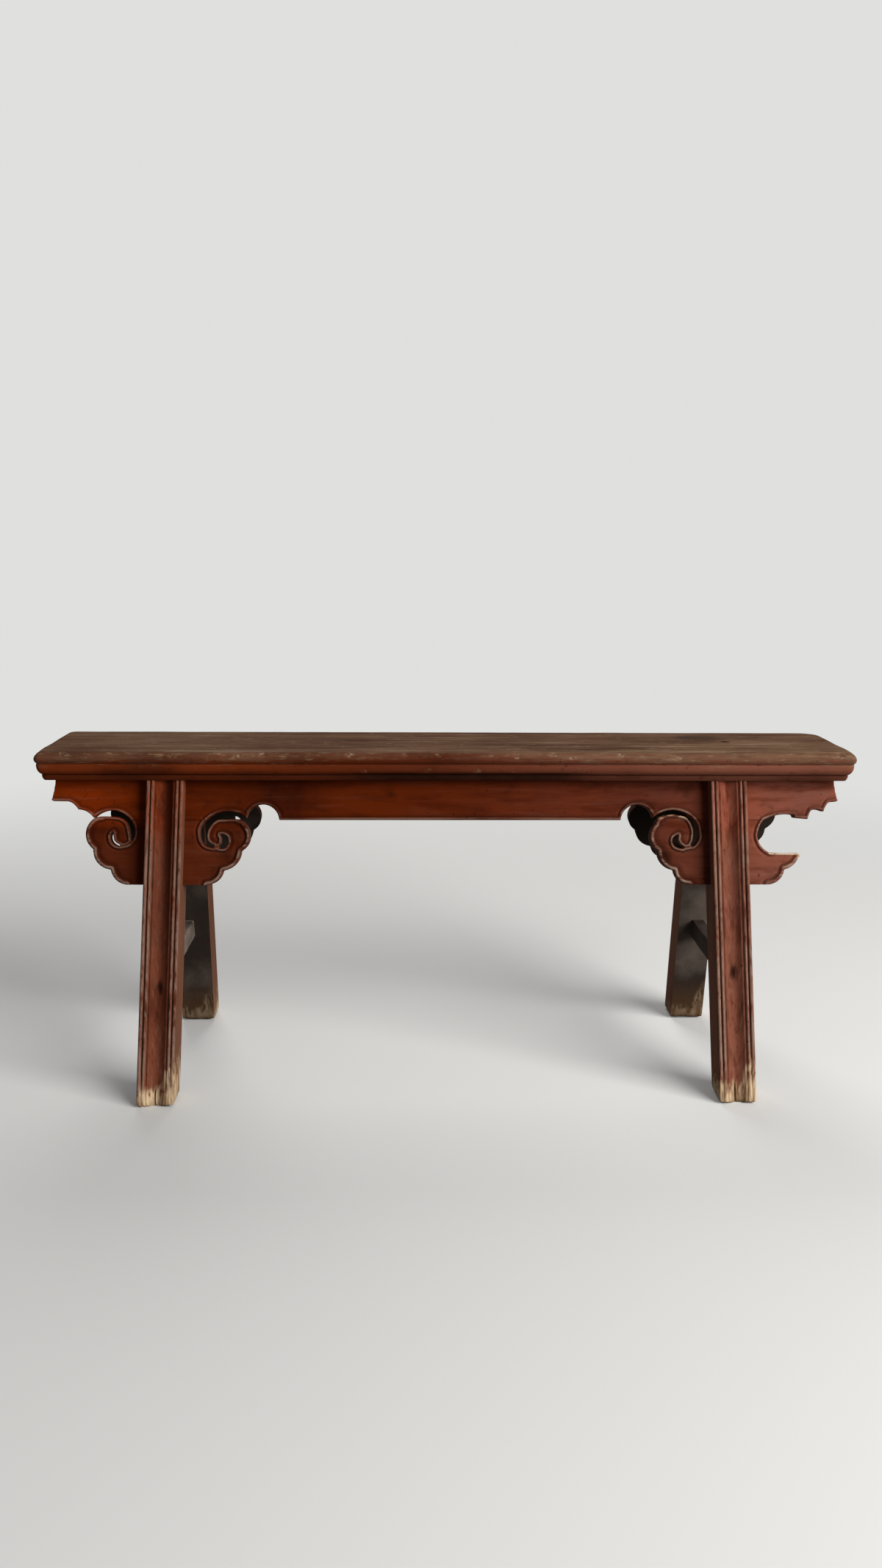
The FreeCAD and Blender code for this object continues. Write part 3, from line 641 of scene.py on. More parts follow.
def close_set(points, spacing=0.6):
    """More points along a line, so that the nearest one is never far off."""
    full = []
    for (x0, y0), (x1, y1) in zip(points, points[1:]):
        steps = max(1, round(math.hypot(x1 - x0, y1 - y0) / spacing))
        full += [(x0 + (x1 - x0) * s / steps, y0 + (y1 - y0) * s / steps) for s in range(steps)]
    return full + [points[-1]]


print("cut lines", EDGE_LINE, "and", SLOT_LINE, "mm from the edges,", LINE_DEPTH, "mm deep")

# %% [markdown]
# ## The scroll boards
# A scroll board has a wing on each side of its leg. Its edges carry a raised bead with a cut line
# inside it. Insetting the outline would tangle in the spiral, so the board gets an even skin of small
# faces, and each point sinks by its distance from the nearest carved edge. That distance also tells
# the finish where the bead has rubbed pale and where dirt stays. The front boards differ, because the
# right one has lost its outer scroll. The rear pair share one drawing, and one of them is carved but
# not pierced.

# %% Scroll boards: carve the four patterns
SCROLL_VOXEL = 0.0009


def wing_edges(wing, turn):
    """The outer edges, the scroll's and comma's, and the slot's wall, each as a close set of points."""
    comma = drawn(wing["comma"] + wing["comma"][:1])
    inner = (drawn(wing["scroll"]), drawn(wing["line"]), comma)
    scroll = [point for line in inner for point in close_set(turn(line))]
    return close_set(turn(drawn(wing["lobes"]))), scroll, close_set(turn(drawn(wing["wall"])))


def make_scroll_board(name, left, right, seed, pierced=True):
    """Two wings on one board, drawn round the leg's middle; right is None for the torn one."""
    outline, holes = mirrored_line(whole_wing(left)), [mirrored_line(drawn(left["comma"]))]
    wings = [wing_edges(left, mirrored_line)]
    if right:
        outline = whole_wing(right) + outline
        holes.append(drawn(right["comma"]))
        wings.append(wing_edges(right, list))
    else:
        outline = drawn(STUMP_FOOT)[:-1] + drawn(STUMP_TEAR)[:-1] + drawn(STUMP_WALL) + outline
        wings.append((close_set(drawn(STUMP_FOOT)), close_set(drawn(STUMP_WALL)), []))
    edges, scrolls, walls = (sum(kind, []) for kind in zip(*wings))
    board = saw_board(name, [outline] + (holes if pierced else []), SCROLL_VOXEL)
    carve_board(board, [(edges, EDGE_LINE, 1.0), (scrolls, SLOT_LINE, SCROLL_RUBBED),
                        (walls, SLOT_LINE, WALL_RUBBED)], seed)
    return board


left_scrolls = make_scroll_board("left_scrolls", WINGS["left_outer"], WINGS["left_inner"], 31)
right_scrolls = make_scroll_board("right_scrolls", WINGS["right_inner"], None, 32)
rear_wings = WINGS["rear_outer"], WINGS["rear_inner"]
rear_scrolls = make_scroll_board("rear_scrolls", *rear_wings, 34)
blind_scrolls = make_scroll_board("blind_scrolls", *rear_wings, 35, pierced=False)
print("scroll faces:", len(left_scrolls.data.polygons), len(right_scrolls.data.polygons))

# %% Scroll boards: the torn stump and the flaked crest
SPLINTER_SIZE, SPLINTER_MEAN, SPLINTER_DEPTH = (0.02, 0.0025, 0.003), 0.0003, 0.0008
CREST_FLAKE_SIZE, CREST_BARE = (0.012, 0.003, 0.006), 0.45

points = points_of(right_scrolls)
near = distances(points, close_set(drawn(STUMP_TEAR)))
torn_here = 1 - ease(near, 1.0, 3.0)
points[:, 1] -= torn_here * (SPLINTER_MEAN + SPLINTER_DEPTH * rough(points, SPLINTER_SIZE, 33))
move_points(right_scrolls, points)
crest = close_set(mirrored_line(drawn(WINGS["right_inner"]["scroll"][:3])))
flaked = ease(rough(points, CREST_FLAKE_SIZE, 36), -0.15, 0.25)
flaked *= 1 - ease(distances(points, crest), 2.0, 6.5)
paint(right_scrolls, "torn", torn_here)
paint(right_scrolls, "bare", CREST_BARE * flaked)
print("torn points:", int((torn_here > 0.5).sum()))

# %% Scroll boards: set on the bench
SCROLL_BOARDS = {
    "spandrel_front_left": (left_scrolls, -1, (1, 1)),
    "spandrel_front_right": (right_scrolls, 1, (1, 1)),
    "spandrel_rear_left": (rear_scrolls, -1, (1, -1)),
    "spandrel_rear_right": (blind_scrolls, -1, (-1, -1)),
}
for name, (pattern, side, turn) in SCROLL_BOARDS.items():
    board = copy_piece(pattern, name)
    points = points_of(board)
    points[:, 0] += side * BOARD_MIDDLE * MM
    move_points(board, points)
    lay_on_board(board)
    placed = copy_piece(board, name + "_scrolls", turn)
    bpy.data.objects.remove(board)
    keep_as(placed, name + "_scrolls", name)
for pattern in (left_scrolls, right_scrolls, rear_scrolls, blind_scrolls):
    bpy.data.objects.remove(pattern)

# %% [markdown]
# ## The aprons
# An apron is one long board from end to end. Its lower edge is straight in the middle, rises in a
# plain arch beside each scroll and in a flatter arch over it, and its ends are scalloped. It is
# sawn and carved as the scroll boards are, and its top is then cut level to meet the seat.

# %% Aprons: one carved, one turned round
APRON_VOXEL = 0.0014
APRON_TIP, POINT_DROP = 573.0, 59.0
APRON_HALVES = {
    "left": dict(near=58, far=115.5, arch=-10.9, end=[
        (51, APRON_HEIGHT, -12.4), (104.2, 59.4, -3.3), (126.5, 46.9, -1.9), (141.1, 35)]),
    "right": dict(near=47.5, far=108.5, arch=-13, end=[
        (54.5, APRON_HEIGHT, -3.8), (99.5, 54.2), (99.8, 58.4), (120.5, 60.4, -0.8), (125.4, 47.2, -1.6),
        (143.6, 49.3, -0.9), (151.3, 35.8)]),
}
NOTCH_WIDTH, NOTCH_RISE = 47, 21
TIP_BACK, TIP_LOW, TIP_WIDEST, TIP_TOP = 3, 34.8, 32, (5, -4)


def half_apron(near, far, arch, end):
    """Half an apron's lower edge from the middle out: up to the leg, beyond it, and the end's tip."""
    inner = [(0, APRON_HEIGHT), (BOARD_MIDDLE - far - NOTCH_WIDTH, APRON_HEIGHT, -NOTCH_RISE),
             (BOARD_MIDDLE - far, POINT_DROP, arch), (BOARD_MIDDLE - near, APRON_HEIGHT)]
    lower = [(BOARD_MIDDLE + across, *rest) for across, *rest in end] + [(APRON_TIP - TIP_BACK, TIP_LOW)]
    tip = [(APRON_TIP - TIP_BACK, TIP_LOW, 0.7), (APRON_TIP, TIP_WIDEST, -2),
           (APRON_TIP - TIP_TOP[0], TIP_TOP[1])]
    return drawn(inner), drawn(lower), drawn(tip)


right_inner, right_lower, right_tip = half_apron(**APRON_HALVES["right"])
left_inner, left_lower, left_tip = half_apron(**APRON_HALVES["left"])
apron_line = right_inner + right_lower + right_tip[1:] + mirrored_line(left_lower + left_tip[1:])
apron_line += mirrored_line(left_inner)[:-1]
apron = saw_board("apron", [apron_line], APRON_VOXEL)
carved = close_set(mirrored_line(left_inner)[:-1] + right_inner)
carved += close_set(right_lower) + close_set(mirrored_line(left_lower))
carve_board(apron, [(carved, SLOT_LINE, SCROLL_RUBBED)], 41)
lay_on_board(apron)
bpy.ops.object.mode_set(mode="EDIT")
bpy.ops.mesh.select_all(action="SELECT")
bpy.ops.mesh.bisect(plane_co=(0, 0, UNDERSIDE), plane_no=(0, 0, 1), use_fill=True, clear_outer=True)
bpy.ops.object.mode_set(mode="OBJECT")
for name, turn in (("apron_front", (1, 1)), ("apron_rear", (-1, -1))):
    keep_as(copy_piece(apron, name, turn), name + "_board", name)
bpy.data.objects.remove(apron)

# %% [markdown]
# ## The rungs
# A plain bar ties the two legs at each end. Hands and feet have rounded its edges and dished its top.
# A box is cut to the legs' lean at its ends, its long edges are bevelled, and it is divided so that
# noise can make it uneven.

# %% Rungs
RUNG_X, RUNG_WIDE, RUNG_LOW, RUNG_HIGH = 0.41335, 0.020, 0.1615, 0.1915
RUNG_ROUND, RUNG_CUTS, RUNG_DISH, RUNG_UNEVEN = 0.0025, 70, 0.0008, 0.0004


def inner_face(height):
    """Distance from the bench's middle to a leg's inner face at a height."""
    return FOOT_Y - LEG_DEPTH / 2 - KICK_SIDE * height / UNDERSIDE


def runs_along(axis):
    """A test for edges that run mainly along one axis."""
    return lambda a, b: max(range(3), key=lambda i: abs(a[i] - b[i])) == axis


bar_size = RUNG_WIDE, 2 * inner_face(RUNG_LOW), RUNG_HIGH - RUNG_LOW
bar = add_box(bar_size, (-RUNG_X, 0, (RUNG_LOW + RUNG_HIGH) / 2))
select_edges(bar, lambda a, b: min(a.z, b.z) > RUNG_HIGH - MM)
shorter = inner_face(RUNG_HIGH) / inner_face(RUNG_LOW)
bpy.ops.transform.resize(value=(1, shorter, 1), center_override=(0, 0, 0))
select_edges(bar, runs_along(1))
bpy.ops.mesh.bevel(offset=RUNG_ROUND, segments=3)
select_edges(bar, runs_along(1))
bpy.ops.mesh.subdivide(number_cuts=RUNG_CUTS)
bpy.ops.object.mode_set(mode="OBJECT")
apply_modifier(bar, "SUBSURF", subdivision_type="SIMPLE", levels=1, render_levels=1)
for name, side, seed in (("rung_left", 1, 51), ("rung_right", -1, 52)):
    rung = copy_piece(bar, name, (side, 1))
    points = points_of(rung)
    inside = 1 - ease(np.abs(points[:, 1]), 0.075, 0.085)
    upper = ease(points[:, 2], RUNG_HIGH - 0.006, RUNG_HIGH)
    points[:, 2] -= upper * inside * RUNG_DISH * (1 + rough(points, (0.05, 0.03, 0.05), seed))
    points[:, 0] += inside * RUNG_UNEVEN * rough(points, (0.01, 0.02, 0.01), seed + 3)
    move_points(rung, points)
    keep_as(rung, name + "_bar", name)
bpy.data.objects.remove(bar)

# %% [markdown]
# ## Finishes
# The bench was lacquered red brown. The lacquer has rubbed off the beads and edges, whose pale crests
# also carry a painted highlight, dirt sits in the cut lines, the feet are bare and the hidden faces
# were never coated. Each finish is a chain of noise and masks on Object coordinates, so it needs no
# picture and stays with the piece. The nodes could be placed by hand. Here two small classes keep the
# steps together, one for any tree of nodes and one for a material, so that a finish reads as a list
# of layers.

# %% Finishes: node helpers
def tint(red, green, blue):
    """A colour written as 0 to 255 for each channel, in the linear values that a shader uses."""
    return tuple(c / 12.92 if c <= 0.04045 else ((c + 0.055) / 1.055) ** 2.4
                 for c in (red / 255, green / 255, blue / 255)) + (1,)


class Nodes:
    """A node tree in the making, with the few steps that the finishes are built from."""

    def __init__(self, tree):
        self.tree = tree

    def wire(self, node, socket, value):
        """Links an output to a node's input, or sets that input to a plain value."""
        if isinstance(value, bpy.types.NodeSocket):
            self.tree.links.new(value, node.inputs[socket])
        else:
            node.inputs[socket].default_value = value

    def put(self, kind, wires, **settings):
        """Adds a shader node, sets it and wires its inputs."""
        made = self.tree.nodes.new("ShaderNode" + kind)
        for name, value in settings.items():
            setattr(made, name, value)
        for socket, value in wires.items():
            self.wire(made, socket, value)
        return made

    def sums(self, kind, a, b=0.0):
        """One step of arithmetic."""
        return self.put("Math", {0: a, 1: b}, operation=kind).outputs[0]

    def times(self, first, *others):
        """The product of all the values."""
        for other in others:
            first = self.sums("MULTIPLY", first, other)
        return first

    def plus(self, a, b, share=1.0):
        """One value and a share of another."""
        return self.put("Math", {0: b, 1: share, 2: a}, operation="MULTIPLY_ADD").outputs[0]

    def mask(self, value, low, high):
        """0 at low and 1 at high, with a soft start and end."""
        wires = {"Value": value, "From Min": low, "From Max": high}
        return self.put("MapRange", wires, interpolation_type="SMOOTHSTEP").outputs[0]

    def lay(self, under, top, amount, *shares):
        """Lays one colour over another, by an amount and shares of it."""
        wires = {0: self.times(amount, *shares), 6: under, 7: top}
        return self.put("Mix", wires, data_type="RGBA").outputs[2]


print("steps:", [name for name in vars(Nodes) if not name.startswith("_")])

# %% Finishes: a material in the making
RELIEF_STRENGTH, WOOD_RELIEF = 0.6, 0.0009
# The wear at which a surface would be mirror smooth, and at which it is fully dull
DULLNESS = (-2.4, 1.5)


class Finish(Nodes):
    """A material with its shader, and the piece's own coordinates, normals and kept numbers."""

    def __init__(self, name):
        self.material = bpy.data.materials.new(name)
        self.material.use_nodes = True
        super().__init__(self.material.node_tree)
        self.shader = self.tree.nodes["Principled BSDF"]
        where = self.put("TexCoord", {}).outputs
        self.place, self.normal = where["Object"], where["Normal"]

    def split(self, vector):
        """A vector's parts, named X, Y and Z."""
        return self.put("SeparateXYZ", {0: vector}).outputs

    def painted(self, name):
        """The numbers that a piece keeps under a name."""
        return self.put("Attribute", {}, attribute_name=name).outputs["Fac"]

    def grain(self, stretch, detail, rough_part=0.55):
        """Noise on Object coordinates, drawn out along the wood by a stretch for each axis."""
        drawn_out = self.put("Mapping", {"Vector": self.place, "Scale": stretch}).outputs[0]
        wires = {"Vector": drawn_out, "Scale": 1.0, "Detail": detail, "Roughness": rough_part}
        return self.put("TexNoise", wires).outputs[0]

    def close(self, sockets, height=None, relief=WOOD_RELIEF):
        """Fills the shader's sockets, adds a fine relief from a height and hands over the material."""
        if height is not None:
            wires = {"Height": height, "Distance": relief, "Strength": RELIEF_STRENGTH}
            sockets["Normal"] = self.put("Bump", wires).outputs[0]
        for socket, value in sockets.items():
            self.wire(self.shader, socket, value)
        return self.material


print("wood relief", WOOD_RELIEF / MM, "mm")

# %% [markdown]
# ## Lacquer on the boards and legs
# The lacquer is a deep red brown, warmer at the left of the bench and rosier at the right. The rosy
# side is partly the coat's own change and partly a painted pale reflection of the light at the right.
# It could be one colour with dirt on top, but the colour changes along the bench. So the coat, its
# rubbed and dirty places, and the bare wood are three steps, and boards and legs share them.

# %% Finishes: old lacquer
LACQUER = dict(
    deep=tint(52, 16, 6), warm=tint(120, 44, 5), fired=tint(158, 54, 5), rose=tint(146, 92, 77),
    dust=tint(112, 74, 58), worn=tint(158, 136, 120), dirt=tint(24, 11, 7), hollow=tint(58, 22, 10),
    side=tint(98, 82, 64), soot=tint(49, 41, 36), ash=tint(108, 96, 87), earth=tint(78, 55, 36),
    bare=tint(212, 184, 148), bare_dark=tint(128, 96, 68), torn=tint(214, 203, 188))


class OldLacquer(Finish):
    """Red lacquer with its noises: broad patches, streaks along the grain and finer streaks."""

    def __init__(self, name, stretch):
        super().__init__(name)
        self.axes, self.facing = self.split(self.place), self.split(self.normal)
        self.patches = self.grain((5, 5, 5), 6, 0.6)
        self.streaks = self.grain(stretch, 5, 0.6)
        self.fine = self.grain([s if s == min(stretch) else 3 * s for s in stretch], 4, 0.6)
        self.to_right = self.mask(self.axes["X"], -0.10, 0.52)

    def coat(self, rosy, warmth, scuffed):
        """The coat itself: patchy, rosier to the right, streaked, and dusty on the lower parts."""
        colour = self.lay(LACQUER["deep"], LACQUER["warm"], self.mask(self.patches, 0.28, 0.60))
        # Rosier to the right: partly the coat's own change, partly a painted pale reflection of the light
        # there
        rosier = self.plus(warmth, self.to_right, rosy)
        colour = self.lay(colour, LACQUER["rose"], rosier, self.mask(self.streaks, 0.10, 0.60))
        dark_streaks = self.mask(self.streaks, 0.54, 0.34)
        colour = self.lay(colour, LACQUER["deep"], dark_streaks, 0.35 + 0.5 * scuffed)
        below = self.mask(self.axes["Z"], 0.40, 0.35)
        dusty = self.mask(self.patches, 0.28, 0.62)
        colour = self.lay(colour, LACQUER["dust"], dusty, below, 1.4 * scuffed)
        colour = self.lay(colour, LACQUER["worn"], self.mask(self.fine, 0.50, 0.80), 0.6 * scuffed)
        return self.lay(colour, LACQUER["deep"], self.mask(self.fine, 0.46, 0.30), scuffed)

    def rub(self, colour, rubbed_and_lit):
        """Pale sides, pale beads from rubbing and a painted highlight by a given amount, and dirt in lines
        and pits.
        """
        sideways = self.mask(self.sums("ABSOLUTE", self.facing["X"]), 0.6, 0.9)
        colour = self.lay(colour, LACQUER["side"], sideways, 0.35)
        broken = self.mask(self.plus(self.fine, self.patches), 0.82, 1.18)
        # Painted highlight as well as rubbed wear on the bead crests, by the given amount
        colour = self.lay(colour, LACQUER["worn"], self.painted("rim"), broken, rubbed_and_lit, 0.62)
        colour = self.lay(colour, LACQUER["dirt"], self.painted("groove"), 0.5)
        colour = self.lay(colour, LACQUER["dirt"], self.painted("pit"), 0.85)
        specks = self.mask(self.grain((150, 150, 150), 2), 0.68, 0.74)
        return self.lay(colour, LACQUER["dirt"], specks, 0.5)

    def strip(self, colour):
        """Sooty inner faces that were never coated, bare feet and the torn edge; then the shader."""
        outward = self.sums("SIGN", self.axes["Y"])
        inner = self.mask(self.times(self.facing["Y"], outward), -0.45, -0.75)
        sooty = self.lay(LACQUER["soot"], LACQUER["ash"], self.mask(self.patches, 0.45, 0.78))
        sooty = self.lay(sooty, LACQUER["earth"], self.mask(self.axes["Z"], 0.09, 0.02), 0.8)
        colour = self.lay(colour, sooty, inner)
        bare = self.painted("bare")
        raw = self.lay(LACQUER["bare_dark"], LACQUER["bare"], self.mask(self.streaks, 0.35, 0.62))
        colour = self.lay(colour, raw, bare)
        torn = self.lay(raw, LACQUER["torn"], self.mask(self.fine, 0.42, 0.58))
        colour = self.lay(colour, torn, self.painted("torn"))
        dull = self.plus(self.sums("MAXIMUM", bare, inner), self.streaks, 0.3)
        dull = self.mask(dull, *DULLNESS)
        sockets = {"Base Color": colour, "Roughness": dull, "Specular IOR Level": 0.015}
        return self.close(sockets, self.plus(self.streaks, self.fine, 0.4))


print("lacquer colours:", len(LACQUER))

# %% Finishes: lacquer on the boards and on the legs
BOARD_GRAIN, LEG_GRAIN = (9, 50, 50), (90, 90, 5)
# How strongly painted shade and light, and the smudges, are laid on the boards
BOARD_SHADE = 0.55


def lacquered_board():
    """Smudged lacquer, painted shade to the middle, painted light at the upper left end and painted shadow
    below it.
    """
    work = OldLacquer("board_lacquer", BOARD_GRAIN)
    x, z = work.axes["X"], work.axes["Z"]
    colour = work.coat(rosy=0.51, warmth=0.0, scuffed=0.16)
    # Painted shade: the boards darken towards the middle of the bench
    middle = work.mask(work.sums("ABSOLUTE", x), 0.47, 0.38)
    colour = work.lay(colour, LACQUER["deep"], middle, BOARD_SHADE)
    # Painted light: the upper left end of the apron is lit orange
    lit_end = work.times(work.mask(x, -0.43, -0.52), work.mask(z, 0.375, 0.405))
    colour = work.lay(colour, LACQUER["fired"], lit_end, 0.55 * BOARD_SHADE)
    # Painted shadow of the left leg on the scroll board beside and below it
    leg_shadow = work.times(work.mask(x, -0.38, -0.45), work.mask(z, 0.400, 0.375))
    colour = work.lay(colour, LACQUER["deep"], leg_shadow, 1.05 * BOARD_SHADE)
    smudges = work.mask(work.grain((16, 16, 22), 4), 0.60, 0.74)
    colour = work.lay(colour, LACQUER["dirt"], smudges, BOARD_SHADE)
    # The bead crests' painted highlight and wear grow towards the right
    return work.strip(work.rub(colour, rubbed_and_lit=work.plus(1.1, work.to_right, 0.4)))


def lacquered_leg():
    """Scuffed lacquer, with painted shade in the wide hollow, most of all at the top of the left legs."""
    work = OldLacquer("leg_lacquer", LEG_GRAIN)
    x, z = work.axes["X"], work.axes["Z"]
    colour = work.coat(rosy=0.40, warmth=0.12, scuffed=0.40)
    # Painted shade: the hollow colour darkens the wide hollow, more near the top and on the left legs
    shade = work.times(work.mask(z, -0.05, 0.45), work.mask(x, 0.9, -0.5))
    colour = work.lay(colour, LACQUER["hollow"], work.painted("recess"), shade)
    # The bead crests' painted highlight and wear grow towards the foot
    return work.strip(work.rub(colour, rubbed_and_lit=work.mask(z, 0.80, 0.05)))


board_lacquer, leg_lacquer = lacquered_board(), lacquered_leg()
print("lacquers:", board_lacquer.name, leg_lacquer.name)

# %% [markdown]
# ## The weathered plank
# The top is bare: grey brown wood with dark fibres, a stain and a knot. The rolls keep their lacquer,
# and along the upper roll the two meet in a ragged line. A painted map could hold that line, but it
# would be a picture. Here height, noise and the way a face points decide where the lacquer is gone.

# %% Finishes: the plank's bare wood
SEAT = dict(
    grey=tint(114, 86, 66), brown=tint(82, 57, 43), straw=tint(132, 106, 80), scratch=tint(164, 142, 118),
    coat=tint(88, 37, 17), fired=tint(112, 46, 18), rose=tint(118, 70, 54), deep=tint(48, 21, 11),
    dirt=tint(30, 18, 12), stain=tint(48, 38, 32))
STAIN, STAIN_REACH = (0.385, 0.035), (0.05, 0.03)
KNOT_HOLE, KNOT_REACH = (0.418, 0.005), (0.009, 0.006)


class Plank(Finish):
    """The plank's noises: patches, fibres, bands, scuffs and fine strokes, all along the grain."""

    def __init__(self, name):
        super().__init__(name)
        self.axes, self.facing = self.split(self.place), self.split(self.normal)
        self.patches = self.grain((5, 14, 14), 6, 0.6)
        self.fibres = self.grain((8, 150, 150), 6, 0.65)
        self.bands = self.grain((3.5, 48, 48), 6, 0.62)
        self.scuffs = self.grain((14, 150, 90), 5, 0.7)
        self.strokes = self.grain((45, 260, 190), 4, 0.75)
        self.to_right = self.mask(self.axes["X"], -0.15, 0.50)

    def spot(self, middle, reach):
        """1 at a place on the seat and 0 beyond its reach along and across the grain."""
        along, across = (self.sums("DIVIDE", self.sums("SUBTRACT", self.axes[axis], at), size)
                         for axis, at, size in zip("XY", middle, reach))
        return self.mask(self.plus(self.times(along, along), self.times(across, across)), 1.0, 0.1)

    def bare_wood(self):
        """Grey brown wood, yellowed at the front right, with a stain and a knot."""
        wood = self.lay(SEAT["brown"], SEAT["grey"], self.mask(self.patches, 0.32, 0.68))
        yellowed = self.times(self.mask(self.axes["X"], 0.0, 0.35), self.mask(self.axes["Y"], 0.03, -0.06))
        wood = self.lay(wood, SEAT["straw"], yellowed, self.mask(self.scuffs, 0.40, 0.66), 0.7)
        wood = self.lay(wood, SEAT["deep"], self.mask(self.bands, 0.50, 0.34), 0.5)
        wood = self.lay(wood, SEAT["scratch"], self.mask(self.bands, 0.54, 0.72), 0.4)
        wood = self.lay(wood, SEAT["brown"], self.mask(self.fibres, 0.52, 0.34), 0.6)
        wood = self.lay(wood, SEAT["dirt"], self.mask(self.fibres, 0.36, 0.28), 0.6)
        wood = self.lay(wood, SEAT["scratch"], self.mask(self.strokes, 0.60, 0.68), 0.6)
        blotchy = self.mask(self.patches, 0.25, 0.55)
        wood = self.lay(wood, SEAT["stain"], self.spot(STAIN, STAIN_REACH), blotchy, 0.75)
        return self.lay(wood, SEAT["dirt"], self.spot(KNOT_HOLE, KNOT_REACH))

    def old_coat(self):
        """The lacquer left on the rolls, with painted light at the left and rosier at the right, partly a
        painted reflection.
        """
        # Painted light on the left of the rolls; the rosy right is partly a painted pale reflection
        coat = self.lay(SEAT["coat"], SEAT["fired"], self.mask(self.axes["X"], -0.05, -0.45))
        coat = self.lay(coat, SEAT["rose"], self.to_right)
        return self.lay(coat, SEAT["deep"], self.mask(self.patches, 0.55, 0.30), 0.7)


print("seat colours:", len(SEAT))

# %% Finishes: the plank's worn edge
def weathered_plank():
    """Lacquer on the rolls, rubbed through along the upper edge and at chips, and bare wood on top."""
    work = Plank("plank_wood")
    z = work.axes["Z"]
    wood, coat = work.bare_wood(), work.old_coat()
    scuffed, stroked = (work.sums("SUBTRACT", mark, 0.5) for mark in (work.scuffs, work.strokes))
    wear = work.plus(work.mask(z, SEAT_TOP - 0.020, SEAT_TOP), scuffed, 2.2)
    wear = work.plus(wear, work.to_right, 0.22)
    thin = work.lay(wood, coat, 0.2)
    rubbed = work.lay(thin, SEAT["straw"], work.mask(work.strokes, 0.52, 0.72))
    ends = work.mask(work.sums("ABSOLUTE", work.axes["X"]), -0.20, 0.42)
    colour = work.lay(coat, rubbed, work.mask(wear, 0.75, 1.10), ends, 0.8)
    level = work.plus(work.plus(work.plus(z, scuffed, 0.045), stroked, 0.020), ends, 0.010)
    worn_edge = work.mask(level, SEAT_TOP - 0.013, SEAT_TOP - 0.001)
    colour = work.lay(colour, rubbed, worn_edge, ends, 0.9)
    flat = work.plus(work.facing["Z"], stroked, 0.3)
    colour = work.lay(colour, wood, work.mask(flat, 0.86, 1.0))
    flakes = work.grain((90, 130, 110), 5, 0.7)
    colour = work.lay(colour, SEAT["scratch"], work.painted("chip"), work.mask(flakes, 0.50, 0.58), 0.8)
    below_top = work.mask(z, SEAT_TOP - 0.004, SEAT_TOP - 0.012)
    colour = work.lay(colour, SEAT["deep"], work.mask(flakes, 0.42, 0.32), below_top, 0.45)
    # Painted shade with dirt: the lowest band, under the rolls, is darkened
    under = work.mask(z, UNDERSIDE + 0.0100, UNDERSIDE + 0.0075)
    colour = work.lay(colour, SEAT["deep"], under, 0.5)
    # Painted shade: where the lowest band broke away under the lower roll, it is darkened
    colour = work.lay(colour, SEAT["dirt"], work.painted("lost"), 0.75)
    sockets = {"Base Color": colour, "Roughness": work.mask(wear, *DULLNESS), "Specular IOR Level": 0.02}
    return work.close(sockets, work.plus(work.fibres, work.scuffs))


seat_finish = weathered_plank()
print("plank finish:", seat_finish.name)

# %% [markdown]
# ## Rungs, dowels and dressing
# The rungs were never lacquered, so dust has greyed them and hands have paled their edges, which the
# Pointiness of the mesh gives. The dowels are split bamboo inside the boards and stay as solids. A
# table then says which finish goes with the first word of a piece's name.

# %% Finishes: uncoated rungs and bamboo
RUNG_RELIEF = 0.0006


def dusty_wood():
    """Dark uncoated wood, greyed by dust, pale where its edges are rubbed, with painted shade on the
    right.
    """
    work = Finish("dusty_wood")
    fibres = work.grain((120, 9, 120), 4)
    dust = work.mask(work.grain((12, 12, 12), 5), 0.32, 0.62)
    colour = work.lay(tint(62, 54, 49), tint(122, 110, 100), dust)
    colour = work.lay(colour, tint(120, 96, 74), work.mask(fibres, 0.5, 0.7), 0.4)
    sharp = work.put("NewGeometry", {}).outputs["Pointiness"]
    colour = work.lay(colour, tint(176, 164, 148), work.mask(sharp, 0.51, 0.58))
    # Painted shade: the right rung is darkened
    to_right = work.mask(work.split(work.place)["X"], -0.2, 0.3)
    colour = work.lay(colour, tint(42, 32, 27), to_right, 0.75)
    sockets = {"Base Color": colour, "Roughness": 0.85, "Specular IOR Level": 0.02}
    return work.close(sockets, fibres, RUNG_RELIEF)


def bamboo_wood():
    """Split bamboo for the hidden dowels."""
    work = Finish("bamboo_wood")
    fibres = work.mask(work.grain((400, 400, 12), 3), 0.35, 0.65)
    colour = work.lay(tint(150, 118, 66), tint(198, 168, 108), fibres)
    return work.close({"Base Color": colour, "Roughness": 0.55})


rung_finish, dowel_finish = dusty_wood(), bamboo_wood()
print("plain finishes:", rung_finish.name, dowel_finish.name)

# %% Finishes: give each piece its own
SMOOTH_ANGLE = math.radians(50)
FINISHES = {"seat": seat_finish, "leg": leg_lacquer, "rung": rung_finish,
            "apron": board_lacquer, "spandrel": board_lacquer}


def dress(piece, finish):
    """Gives a piece its finish in the place of any other."""
    piece.data.materials.clear()
    piece.data.materials.append(finish)


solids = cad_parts.values()
for piece in [o for o in bpy.data.objects if o.type == "MESH" and o not in solids]:
    dress(piece, FINISHES[piece.name.split("_")[0]])
    pick(piece)
    bpy.ops.object.shade_smooth_by_angle(angle=SMOOTH_ANGLE)
for name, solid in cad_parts.items():
    if name.startswith("dowel"):
        dress(solid, dowel_finish)
print("pieces dressed with", sorted(FINISHES))

# %% [markdown]
# ## Camera, floor and light
# The camera stands higher than the seat, just left of the bench's middle, and looks slightly down.
# Its lens and place were found from the seat's corners and the feet. The main light is a soft lamp at
# the front right, which lets the hollows of the legs and the beads show. A weak lamp at the left, one
# behind and a dim even surround lift the shadows. Seen directly, floor and surround are pale, and far
# from the bench the floor fades into the background.

